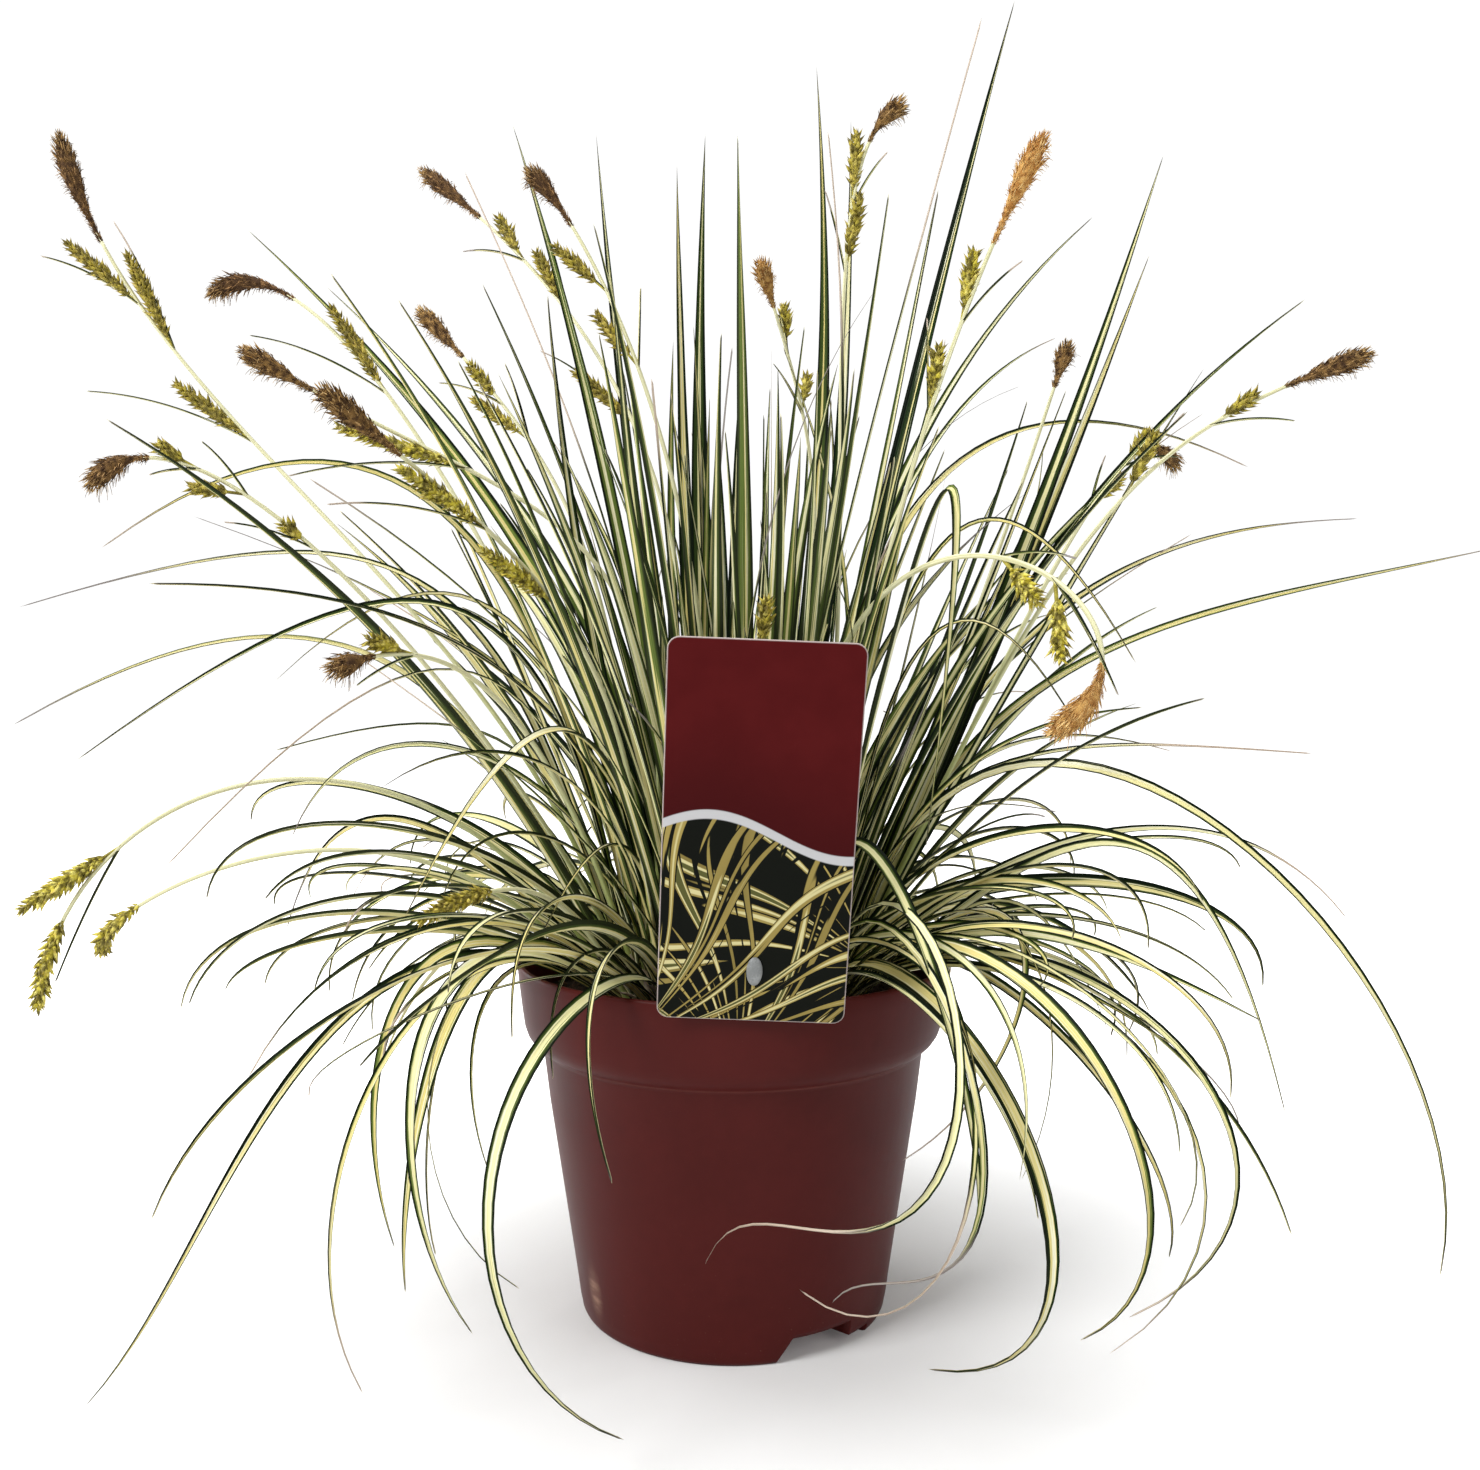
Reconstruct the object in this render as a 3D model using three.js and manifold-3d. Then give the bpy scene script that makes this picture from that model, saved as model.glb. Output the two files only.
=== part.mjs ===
// A variegated sedge in flower, in a round nursery pot with a picture card held at the rim.
// Millimetres, +Z up. The origin is the centre of the pot's flat underside, and -Y is the front.
import * as THREE from "three";
import { mergeVertices } from "three/addons/utils/BufferGeometryUtils.js";
import Module from "manifold-3d";

const wasm = await Module();
wasm.setup();

// ---------------------------------------------------------------- driving dimensions

const GAP = 0.3; // clearance between neighbouring pieces

const POT = {
  height: 138,
  rimRadius: 85, // outside, at the top of the band
  bandRadius: 82.2, // outside, at the foot of the band
  bandFoot: 113,
  neckRadius: 75.8, // where the band curves in to meet the body
  neckHeight: 105,
  baseRadius: 60.3,
  wall: 1.7,
  floor: 2.4,
  sides: 36,
};

// Two drainage recesses in the foot of the pot, each a tall arch with a lower step beside it.
const RECESS = {
  headings: [-57, 123],
  depth: 16,
  tall: { width: 25, height: 9 },
  low: { width: 12, height: 3 },
  lining: 1.6,
};

const SOIL = { top: 120, roughness: 1.3, crownFloor: 104, crownRadius: 54.6 };

const CARD = {
  width: 63,
  height: 130,
  thickness: 0.8,
  corner: 4,
  foot: [6.1, -87.2, 133.5], // middle of the bottom edge
  lean: 12, // degrees towards the front
  roll: 2.4, // degrees clockwise, seen from the front
};

// The grey stake that holds the card: an oval head in front, a neck through the card, an arm over the rim
// and a tang in the soil.
const STAKE = {
  up: 18.2, // from the card's bottom edge
  across: 0.6,
  head: [5.4, 10.2, 1.6], // width, height and thickness
  neck: [3, 6], // width and height
  armWidth: 5,
  armHeight: 5,
  tangY: -68,
  tangThickness: 1.7,
  tangFoot: 94,
};

// The plant is a ring of leafy tufts round a heart of four more. Flower stems stand in the planes between
// them. Each tuft keeps its crown between two radii, set back from the planes at its sides.
const ROOT_HEIGHT = 122; // where blades leave the crown
const RING = { tufts: 15, firstHeading: -74, step: 24, inner: 31, outer: 54.3, setback: 2.4 };
const HEART = { tufts: 4, firstHeading: 37, step: 90, inner: 3.5, outer: 28.6, setback: 2.2 };

const BLADE = {
  baseShare: 0.55, // width at the root, as a share of the full width
  widening: 1.8,
  keel: 0.4, // depth of the midrib under the blade's line
  edgeRise: 0.35, // height of the edges over that line, at no width
  fold: 0.1, // and what each millimetre of half width adds to it
  bendStep: 50, // degrees of bend that one segment may take
};

const STEM = { radius: 1.05, taper: 0.4, sides: 3, bendStep: 60 };
const EAR = { radius: 3.6, sides: 5, stalk: 5, stalkRadius: 0.6 };
const MALE = { radius: 5, sides: 5 };
const WHORL = { step: 7, hollow: 0.66, tip: 1.15 }; // length of spike to a whorl of scales, and their relief

// Blades claim cells of air as they are placed, so that no two tufts ever touch.
const AIR = { cell: 2, reach: 352, floor: -6, ceiling: 556 };
const STEM_OWNER = 100; // marks air that stems and the stake take up
const SHEATH = 16; // height above the roots up to which the blades of a tuft may share their room
const CLEAR = { rim: 2.5, overRim: 2, insideRim: 6, soil: 3, ground: 5, cardEdge: 3, cardBack: 4 };

const SEED = 700; // each tuft draws from a stream of its own, numbered on from here
const TRIES = 60; // draws for each blade wanted
const FILL = { arching: 6, leaning: 5, heart: 11 }; // blades of each kind wanted in a tuft

// ---------------------------------------------------------------- blades and stems set one by one

// A blade's curve is drawn inside legs of [degrees above level, length]. Headings are degrees from +X.
// Drift is how far the heading swings by the tip, and turn is how far the blade's face is rolled over.
const RING_BLADES = [
  { heading: -56, drift: 0, root: 46, width: 5, turn: 15, legs: [[84, 165], [-63, 200], [-113, 40]] },
  { heading: -48, drift: -6, root: 46, width: 6.5, turn: 20, legs: [[71, 85], [-43, 225], [-165, 130]] },
  { heading: -46, drift: -6, root: 47, width: 5, turn: 25, legs: [[58, 110], [-41, 180], [-144, 85]] },
  {
    heading: -55, drift: -41, root: 48, width: 3, turn: 20,
    legs: [[66, 190], [-75, 340], [114, 185], [-120, 100]],
  },
  {
    heading: -47, drift: -27, root: 48, width: 2.5, turn: 30,
    legs: [[51, 90], [-87, 31], [-47, 165], [181, 135]],
  },
  { heading: -50, drift: -3, root: 42, width: 4, turn: 25, legs: [[73, 355], [-98, 275]] },
  { heading: -30, drift: 0, root: 48, width: 4, turn: 35, legs: [[68, 75], [-42, 145], [-106, 45]] },
  { heading: -29, drift: -8, root: 46, width: 3.5, turn: 35, legs: [[48, 100], [-33, 175], [-146, 115]] },
  { heading: -31, drift: -12, root: 50, width: 3, turn: 30, legs: [[50, 130], [-82, 100], [-143, 80]] },
  { heading: -28, drift: 0, root: 46, width: 5, turn: 40, legs: [[49, 70], [-19, 55], [-22, 60]] },
  { heading: -22, drift: 0, root: 48, width: 4, turn: 45, legs: [[44, 115], [32, 50], [-76, 135]] },
  { heading: -20, drift: 0, root: 44, width: 4, turn: 45, legs: [[78, 205], [-41, 250], [-100, 115]] },
  { heading: -28, drift: 0, root: 42, width: 3.5, turn: 40, legs: [[84, 280], [-60, 170]] },
  { heading: -24, drift: 0, root: 46, width: 3.5, turn: 40, legs: [[79, 110], [5, 90]] },
  { heading: -7, drift: 0, root: 46, width: 7, turn: 40, legs: [[88, 60], [1, 160], [-95, 55]] },
  { heading: 2, drift: 0, root: 48, width: 3.5, turn: 45, legs: [[55, 75], [18, 110], [-52, 85]] },
  { heading: 2, drift: 0, root: 44, width: 4, turn: 50, legs: [[74, 155], [0, 95], [13, 130]] },
  { heading: -2, drift: 0, root: 40, width: 7, turn: 55, legs: [[65, 175], [73, 175]] },
  { heading: 1, drift: 0, root: 42, width: 6, turn: 55, legs: [[65, 160], [70, 155]] },
  { heading: -6, drift: 0, root: 42, width: 4, turn: 50, legs: [[73, 190], [36, 145]] },
  { heading: 22, drift: 0, root: 38, width: 5, turn: 40, legs: [[94, 200], [41, 190]] },
  { heading: 20, drift: 0, root: 40, width: 4, turn: 35, legs: [[92, 295], [-19, 230]] },
  { heading: 24, drift: 0, root: 44, width: 3.5, turn: 45, legs: [[67, 165], [28, 85], [4, 150]] },
  { heading: 46, drift: 0, root: 38, width: 3.5, turn: 30, legs: [[85, 230], [21, 190]] },
  { heading: 144, drift: 0, root: 42, width: 6, turn: -40, legs: [[104, 140], [37, 300]] },
  { heading: 166, drift: 0, root: 40, width: 7, turn: -50, legs: [[100, 140], [42, 265]] },
  { heading: 188, drift: 0, root: 40, width: 3.5, turn: -45, legs: [[73, 175], [58, 40], [-18, 160]] },
  { heading: 190, drift: 0, root: 44, width: 3.5, turn: -45, legs: [[68, 135], [48, 75], [-31, 140]] },
  { heading: 192, drift: 0, root: 40, width: 4, turn: -45, legs: [[81, 290], [-38, 185]] },
  { heading: 187, drift: 0, root: 46, width: 3.5, turn: -45, legs: [[52, 160], [-74, 100]] },
  { heading: 208, drift: 0, root: 44, width: 4, turn: -40, legs: [[81, 175], [17, 50], [-37, 145]] },
  { heading: 216, drift: 0, root: 44, width: 3.5, turn: -35, legs: [[92, 85], [27, 120], [-67, 70]] },
  { heading: 214, drift: 3, root: 46, width: 5.5, turn: -35, legs: [[50, 110], [-79, 125], [-91, 45]] },
  { heading: 209, drift: 3, root: 48, width: 4.5, turn: -40, legs: [[42, 115], [-75, 90], [-106, 65]] },
  { heading: 221, drift: 4, root: 48, width: 5, turn: -30, legs: [[42, 125], [-77, 115], [-122, 80]] },
  { heading: 219, drift: 2, root: 50, width: 2.5, turn: -35, legs: [[47, 105], [-55, 132], [-116, 85]] },
  {
    heading: 207, drift: -2, root: 50, width: 4, turn: -45,
    legs: [[42, 75], [-12, 73], [-82, 108], [-44, 62]],
  },
  { heading: 242, drift: 12, root: 47, width: 5, turn: -20, legs: [[76, 60], [-17, 230], [-146, 190]] },
  { heading: 236, drift: -6, root: 44, width: 5, turn: -25, legs: [[79, 190], [-60, 155]] },
  { heading: 232, drift: 0, root: 42, width: 2.5, turn: -35, legs: [[81, 120], [25, 90], [-3, 100]] },
];

const HEART_BLADES = [
  { heading: 8, drift: 0, root: 18, width: 7.5, turn: 50, legs: [[78, 200], [75, 205]] },
  { heading: 45, drift: 0, root: 16, width: 6, turn: 30, legs: [[72, 185], [91, 185]] },
  { heading: 64, drift: 0, root: 18, width: 6.5, turn: 20, legs: [[64, 230], [101, 190]] },
  { heading: 110, drift: 0, root: 14, width: 8, turn: -15, legs: [[75, 165], [97, 190]] },
  { heading: 130, drift: 0, root: 18, width: 6, turn: -30, legs: [[85, 170], [89, 165]] },
  { heading: 146, drift: 0, root: 16, width: 5, turn: -35, legs: [[79, 180], [84, 175]] },
  { heading: 162, drift: 0, root: 20, width: 6.5, turn: -45, legs: [[84, 180], [72, 180]] },
  { heading: 188, drift: 0, root: 18, width: 4.5, turn: -45, legs: [[84, 140], [65, 150]] },
  { heading: 283, drift: 0, root: 12, width: 7, turn: 10, legs: [[83, 150], [97, 185]] },
  { heading: -25, drift: 0, root: 18, width: 6, turn: 45, legs: [[77, 155], [79, 155]] },
  { heading: -50, drift: 0, root: 16, width: 4.5, turn: 30, legs: [[75, 150], [79, 150]] },
];

// Flower stems. Head is the length of the spike at the tip: brown and male, or green and female.
// Ears are the green spikes lower down, as [distance below the head, length, slant off the stem in degrees].
// A slant above 0 is on the stem's upper side.
const STEMS = [
  {
    heading: 178, drift: 1, root: 40, legs: [[74, 170], [21, 160], [77, 120]],
    head: 45, male: true, ears: [[27, 36, -16], [49, 40, 13], [96, 37, -11]],
  },
  {
    heading: 226, drift: 0, root: 52, legs: [[62, 62], [18, 25], [-20, 42]],
    head: 29, male: false, ears: [],
  },
  {
    heading: 154, drift: -2, root: 34, legs: [[102, 170], [71, 95], [36, 155]],
    head: 42, male: true, ears: [[30, 23, 11], [61, 29, 10], [120, 35, -24]],
  },
  {
    heading: 154, drift: 3, root: 38, legs: [[85, 175], [66, 30], [45, 115]],
    head: 31, male: true, ears: [[27, 23, -2], [46, 31, -19]],
  },
  {
    heading: 178, drift: -4, root: 34, legs: [[83, 95], [64, 250], [-34, 70]],
    head: 41, male: true, ears: [[53, 40, 4]],
  },
  {
    heading: 226, drift: 3, root: 40, legs: [[85, 145], [24, 37], [28, 110]],
    head: 34, male: true, ears: [[39, 37, -8], [77, 34, -17]],
  },
  {
    heading: 202, drift: -2, root: 40, legs: [[75, 57], [55, 235], [-55, 70]],
    head: 23, male: true, ears: [[15, 14, 8], [32, 17, -28], [61, 13, -4]],
  },
  {
    heading: 202, drift: 6, root: 46, legs: [[62, 150], [-14, 125], [-83, 80]],
    head: 28, male: false, ears: [[28, 34, 10]],
  },
  {
    heading: 202, drift: -7, root: 52, legs: [[58, 135], [-31, 135], [-118, 18]],
    head: 27, male: false, ears: [],
  },
  {
    heading: 202, drift: -2, root: 36, legs: [[97, 205], [-20, 70], [30, 120]],
    head: 27, male: true, ears: [[58, 46, -10]],
  },
  {
    heading: 226, drift: 1, root: 46, legs: [[70, 140], [16, 45], [-21, 42]],
    head: 16, male: true, ears: [[14, 17, 10]],
  },
  {
    heading: -38, drift: 1, root: 36, legs: [[82, 160], [68, 95], [59, 70]],
    head: 38, male: true, ears: [[27, 24, 13], [59, 23, 12]],
  },
  {
    heading: -62, drift: 3, root: 40, legs: [[91, 250], [-23, 260], [-159, 105]],
    head: 33, male: true, ears: [[29, 22, -56], [52, 20, -31]],
  },
  {
    heading: -14, drift: 1, root: 42, legs: [[65, 205], [57, 32], [18, 90]],
    head: 31, male: true, ears: [[27, 18, 3], [66, 24, 17]],
  },
  {
    heading: 10, drift: 0, root: 38, legs: [[66, 140], [72, 140]],
    head: 19, male: true, ears: [],
  },
  {
    heading: 10, drift: 7, root: 48, legs: [[65, 240], [38, 30], [-36, 34]],
    head: 25, male: true, ears: [[15, 21, 7], [38, 18, -11]],
  },
  {
    heading: 274, drift: 8, root: 36, legs: [[84, 80], [78, 75]],
    head: 15, male: false, ears: [],
  },
  {
    heading: -8, drift: 1, root: 20, legs: [[69, 120], [101, 225], [13, 47]],
    head: 20, male: true, ears: [[23, 26, 6], [48, 28, -7]],
  },
  {
    heading: 58, drift: 10, root: 38, legs: [[81, 200], [33, 36], [132, 105]],
    head: 21, male: true, ears: [[19, 19, -31], [45, 18, -46]],
  },
  {
    heading: 172, drift: 0, root: 16, legs: [[99, 175], [63, 145], [41, 36]],
    head: 29, male: true, ears: [[28, 27, -24], [60, 26, -19]],
  },
];

// ---------------------------------------------------------------- small maths

const radians = THREE.MathUtils.degToRad;

const polar = (radius, heading, z) =>
  new THREE.Vector3(radius * Math.cos(radians(heading)), radius * Math.sin(radians(heading)), z);

// A repeatable stream of numbers from 0 to 1.
function drawFrom(seed) {
  let state = seed;
  return () => {
    state = (Math.imul(state, 1664525) + 1013904223) >>> 0;
    return state / 4294967296;
  };
}

// ---------------------------------------------------------------- solids

function toSolid(geometry) {
  const bare = geometry.clone();
  bare.deleteAttribute("normal");
  bare.deleteAttribute("uv");
  const merged = mergeVertices(bare, 1e-4);
  return new wasm.Manifold(
    new wasm.Mesh({
      numProp: 3,
      vertProperties: merged.attributes.position.array,
      triVerts: new Uint32Array(merged.index.array),
    }),
  );
}

// Joins rings of equal point counts into a closed skin. The first and last rings are single points.
function skin(rings) {
  const points = rings.flat();
  const starts = [];
  let count = 0;
  for (const ring of rings) {
    starts.push(count);
    count += ring.length;
  }
  const faces = [];
  for (let k = 0; k + 1 < rings.length; k++) {
    const sides = Math.max(rings[k].length, rings[k + 1].length);
    for (let i = 0; i < sides; i++) {
      const j = (i + 1) % sides;
      const [a, b] = [i, j].map((n) => starts[k] + (n % rings[k].length));
      const [c, d] = [i, j].map((n) => starts[k + 1] + (n % rings[k + 1].length));
      if (rings[k].length > 1) faces.push(a, b, d);
      if (rings[k + 1].length > 1) faces.push(a, d, c);
    }
  }
  return new wasm.Manifold(
    new wasm.Mesh({
      numProp: 3,
      vertProperties: new Float32Array(points.flatMap((p) => [p.x, p.y, p.z])),
      triVerts: new Uint32Array(faces),
    }),
  );
}

// Turns a profile of [radius, height] about the Z axis. The profile starts and ends on the axis and runs up
// the outside. Lift is what to add to the height of a point.
function revolve(profile, sides, lift = () => 0) {
  const ringOf = ([radius, z]) =>
    Array.from({ length: radius === 0 ? 1 : sides }, (_, i) =>
      polar(radius, (i * 360) / sides, z + lift(radius, z)),
    );
  return skin(profile.map(ringOf));
}

// The joined body of several solids that meet. A hollow that the joining seals is filled.
function join(solids) {
  const joined = solids.reduce((whole, next) => whole.add(next));
  const shells = joined.decompose();
  return shells.reduce((best, shell) => (shell.volume() > best.volume() ? shell : best));
}

function meshOf(name, solid, material) {
  const { vertProperties, triVerts } = solid.getMesh();
  const geometry = new THREE.BufferGeometry();
  geometry.setAttribute("position", new THREE.BufferAttribute(new Float32Array(vertProperties), 3));
  geometry.setIndex(new THREE.BufferAttribute(new Uint32Array(triVerts), 1));
  geometry.computeVertexNormals();
  const mesh = new THREE.Mesh(geometry, material);
  mesh.name = name;
  return mesh;
}

// A box between two corners, turned about Z.
function block(low, high, heading = 0) {
  const size = high.map((value, axis) => value - low[axis]);
  const geometry = new THREE.BoxGeometry(...size);
  geometry.translate(...low.map((value, axis) => value + size[axis] / 2));
  geometry.rotateZ(radians(heading));
  return toSolid(geometry);
}

// ---------------------------------------------------------------- materials

const finish = (color, roughness) => new THREE.MeshStandardMaterial({ color, roughness, metalness: 0 });

const MATERIALS = {
  pot: finish(0x6b2a20, 0.45),
  soil: finish(0x2e241b, 0.95),
  card: finish(0x571416, 0.35),
  stake: finish(0x77787a, 0.45),
  leaf: finish(0x8a9450, 0.6),
  stem: finish(0xa7a455, 0.65),
  male: finish(0x7a5432, 0.85),
};

// ---------------------------------------------------------------- pot and soil

// The pot's wall as [radius, height]: up the outside, and back down the inside.
function potOutlines() {
  const { height, rimRadius, bandRadius, bandFoot, neckRadius, neckHeight, baseRadius, wall, floor } = POT;
  const outside = [
    [baseRadius - 1.1, 0],
    [baseRadius, 1.6],
    [neckRadius - 0.7, neckHeight - 1],
    [neckRadius, neckHeight],
    [bandRadius - 2.6, neckHeight + 2],
    [bandRadius, bandFoot],
    [rimRadius, height - 0.9],
    [rimRadius - 0.8, height],
  ];
  const inside = [
    [rimRadius - wall - 0.7, height],
    [bandRadius - wall, bandFoot + 0.4],
    [bandRadius - 2.6 - wall, neckHeight + 3.4],
    [neckRadius - 0.7 - wall, neckHeight + 0.6],
    [baseRadius - wall, floor],
  ];
  return { outside, inside };
}

// The space of one drainage recess, grown by a margin on the sides that face into the pot.
function recessSpace(heading, margin) {
  const { depth, tall, low } = RECESS;
  const back = POT.baseRadius - depth - margin;
  const front = POT.baseRadius + 8;
  const left = -tall.width / 2;
  const right = tall.width / 2;
  return block([back, left - margin, -1], [front, right + margin, tall.height + margin], heading).add(
    block([back, right - 1, -1], [front, right + low.width + margin, low.height + margin], heading),
  );
}

function pot() {
  const { inside, outside } = potOutlines();
  const filled = revolve([[0, 0], ...outside, [0, POT.height]], POT.sides);
  let body = revolve([[0, 0], ...outside, ...inside, [0, POT.floor]], POT.sides);
  for (const heading of RECESS.headings) {
    body = body.add(recessSpace(heading, RECESS.lining).intersect(filled)).subtract(recessSpace(heading, 0));
  }
  return body;
}

// Soil up to below the rim, with a round hole for the plant's crown and a slot for the stake.
function soil() {
  const draw = drawFrom(11);
  const clear = POT.wall + GAP;
  const { top, roughness, crownFloor, crownRadius } = SOIL;
  const edge = POT.bandRadius - clear;
  const profile = [
    [0, POT.floor + GAP],
    [POT.baseRadius - clear - 0.2, POT.floor + GAP],
    [POT.neckRadius - 0.9 - clear, POT.neckHeight + 0.8],
    [edge - 0.1, POT.bandFoot + 1.6],
    [edge, top],
    [edge - 8, top],
    [edge - 18, top],
    [crownRadius, top - 1],
    [crownRadius, crownFloor],
    [0, crownFloor],
  ];
  const crumbs = (radius, z) => (z === top && radius < edge ? (draw() * 2 - 1) * roughness : 0);
  let body = revolve(profile, POT.sides, crumbs);
  for (const heading of RECESS.headings) {
    body = body.subtract(recessSpace(heading, RECESS.lining + GAP));
  }
  return body.subtract(tang(GAP));
}

// ---------------------------------------------------------------- card and stake

// Card coordinates: X across, Z up from the middle of the bottom edge, and -Y out of the face.
const CARD_PLACE = new THREE.Matrix4()
  .makeTranslation(...CARD.foot)
  .multiply(new THREE.Matrix4().makeRotationX(radians(CARD.lean)))
  .multiply(new THREE.Matrix4().makeRotationY(radians(CARD.roll)));

// An outline in the card's plane, extruded from front to back of its thickness.
function plate(shape, front, back) {
  const depth = back - front;
  const geometry = new THREE.ExtrudeGeometry(shape, { depth, bevelEnabled: false, curveSegments: 4 });
  geometry.rotateX(Math.PI / 2);
  geometry.translate(0, back, 0);
  geometry.applyMatrix4(CARD_PLACE);
  return toSolid(geometry);
}

function roundedOutline(width, height, corner) {
  const shape = new THREE.Shape();
  const half = width / 2;
  shape.moveTo(-half + corner, 0);
  shape.lineTo(half - corner, 0);
  shape.absarc(half - corner, corner, corner, -Math.PI / 2, 0);
  shape.lineTo(half, height - corner);
  shape.absarc(half - corner, height - corner, corner, 0, Math.PI / 2);
  shape.lineTo(-half + corner, height);
  shape.absarc(-half + corner, height - corner, corner, Math.PI / 2, Math.PI);
  shape.lineTo(-half, corner);
  shape.absarc(-half + corner, corner, corner, Math.PI, Math.PI * 1.5);
  return shape;
}

function ovalOutline(width, height) {
  const shape = new THREE.Shape();
  const points = Array.from({ length: 12 }, (_, i) => {
    const turn = (i * Math.PI) / 6;
    return new THREE.Vector2(
      STAKE.across + (width / 2) * Math.cos(turn),
      STAKE.up + (height / 2) * Math.sin(turn),
    );
  });
  shape.setFromPoints(points);
  return shape;
}

function card() {
  const { width, height, corner, thickness } = CARD;
  const slot = ovalOutline(STAKE.neck[0] + 2 * GAP, STAKE.neck[1] + 2 * GAP);
  const face = plate(roundedOutline(width, height, corner), -thickness, 0);
  return face.subtract(plate(slot, -thickness - 1, 1));
}

// The stake's middle in the part's own frame, at the back of the card.
const STAKE_PLACE = new THREE.Vector3(STAKE.across, 0, STAKE.up).applyMatrix4(CARD_PLACE);

// The part of the stake that stands in the soil, or with a margin the slot that it stands in.
function tang(margin) {
  const { armWidth, armHeight, tangY, tangThickness, tangFoot } = STAKE;
  const { x, z } = STAKE_PLACE;
  return block(
    [x - armWidth / 2 - margin, tangY - margin, tangFoot - margin],
    [x + armWidth / 2 + margin, tangY + tangThickness + margin, z + armHeight / 2],
  );
}

function stake() {
  const { head, neck, armWidth, armHeight, tangY } = STAKE;
  const { x, y, z } = STAKE_PLACE;
  const front = -CARD.thickness - GAP - head[2];
  const button = plate(ovalOutline(head[0], head[1]), front, front + head[2]);
  const shank = plate(ovalOutline(neck[0], neck[1]), front + head[2] / 2, 3);
  const arm = block(
    [x - armWidth / 2, y + 1, z - armHeight / 2],
    [x + armWidth / 2, tangY + 1, z + armHeight / 2],
  );
  return join([button, shank, arm, tang(0)]);
}

// ---------------------------------------------------------------- curves of blades and stems

const blend = (from, to, share) => from.map((value, i) => value + (to[i] - value) * share);

// The point and the directions along, across and above a blade, a share of the way along its curve.
function station({ root, legs, heading, drift = 0, turn = 0 }, share) {
  let points = [[root, ROOT_HEIGHT]];
  for (const [angle, length] of legs) {
    const [radius, z] = points.at(-1);
    points.push([radius + length * Math.cos(radians(angle)), z + length * Math.sin(radians(angle))]);
  }
  // Each pass leaves one leg fewer, and the last leg touches the curve.
  while (points.length > 2) {
    points = points.slice(1).map((next, i) => blend(points[i], next, share));
  }
  const [radius, z] = blend(points[0], points[1], share);
  const [out, rise] = points[1].map((value, i) => (value - points[0][i]) * legs.length);
  const bearing = heading + drift * share ** 2;
  const swing = radius * radians(2 * drift * share);
  const sideways = polar(1, bearing + 90, 0);
  const along = polar(out, bearing, rise).addScaledVector(sideways, swing).normalize();
  const level = sideways.addScaledVector(along, -sideways.dot(along)).normalize();
  const upright = along.clone().cross(level);
  const roll = radians(turn);
  const across = level.multiplyScalar(Math.cos(roll)).addScaledVector(upright, Math.sin(roll));
  return { at: polar(radius, bearing, z), along, across, above: along.clone().cross(across) };
}

// A blade widens above its sheath and draws out to a long point.
const bladeWidth = (blade, share) =>
  blade.width * Math.min(1, BLADE.baseShare + BLADE.widening * share) * (1 - share ** 2.2);

// The total bend of a blade's legs, in degrees.
function bendOf(blade) {
  return blade.legs.slice(1).reduce((sum, [angle], i) => sum + Math.abs(angle - blade.legs[i][0]), 0);
}

function lengthOf(blade) {
  const steps = 24;
  const points = Array.from({ length: steps + 1 }, (_, i) => station(blade, i / steps).at);
  return points.slice(1).reduce((sum, point, i) => sum + point.distanceTo(points[i]), 0);
}

// A three-cornered blade: two edges and the keel under the midrib.
function bladeSolid(blade) {
  const segments = 3 + Math.round(bendOf(blade) / BLADE.bendStep);
  const rings = [[polar(blade.root - 2, blade.heading, ROOT_HEIGHT - 10)]];
  for (let k = 0; k < segments; k++) {
    const share = (k / segments) ** 0.95;
    const { at, across, above } = station(blade, share);
    const half = bladeWidth(blade, share) / 2;
    const edge = at.clone().addScaledVector(above, BLADE.edgeRise + BLADE.fold * half);
    rings.push([
      edge.clone().addScaledVector(across, half),
      edge.clone().addScaledVector(across, -half),
      at.clone().addScaledVector(above, -BLADE.keel),
    ]);
  }
  rings.push([station(blade, 1).at]);
  return skin(rings);
}

// ---------------------------------------------------------------- flower spikes

// The share of a stem's curve that lies a distance below its tip.
function shareBelowTip(stem, distance) {
  const steps = 400;
  let left = distance;
  let here = station(stem, 1).at;
  for (let i = steps - 1; i >= 0; i--) {
    const next = station(stem, i / steps).at;
    const stride = next.distanceTo(here);
    if (left <= stride) return (i + 1 - left / stride) / steps;
    left -= stride;
    here = next;
  }
  return 0;
}

function ringRound({ at, across, above }, radius, sides, offset) {
  return Array.from({ length: sides }, (_, i) => {
    const turn = ((i + offset) * 2 * Math.PI) / sides;
    return at
      .clone()
      .addScaledVector(across, radius * Math.cos(turn))
      .addScaledVector(above, radius * Math.sin(turn));
  });
}

// A spike of overlapping scales, in whorls that each stand half a step round from the last. A whorl is a ring
// of hollows and above it a ring of scale tips. Place gives the frame a share of the way up, and outline the
// radius there.
function spikeSolid(place, outline, sides, whorls) {
  const rings = [[place(0).at]];
  for (let k = 0; k < whorls; k++) {
    const hollow = (k + 0.35) / whorls;
    const tip = (k + 0.85) / whorls;
    rings.push(ringRound(place(hollow), outline(hollow) * WHORL.hollow, sides, k * 0.5));
    if (k + 1 < whorls) rings.push(ringRound(place(tip), outline(tip) * WHORL.tip, sides, k * 0.5));
  }
  rings.push([place(1).at]);
  return skin(rings);
}

const earOutline = (share) => EAR.radius * Math.max(0.2, Math.sin(Math.PI * share) ** 0.65);
const maleOutline = (share) => MALE.radius * Math.max(0.22, Math.sin(Math.PI * share ** 2) ** 0.75);
const whorlsIn = (length) => Math.max(3, Math.round(length / WHORL.step));

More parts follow.
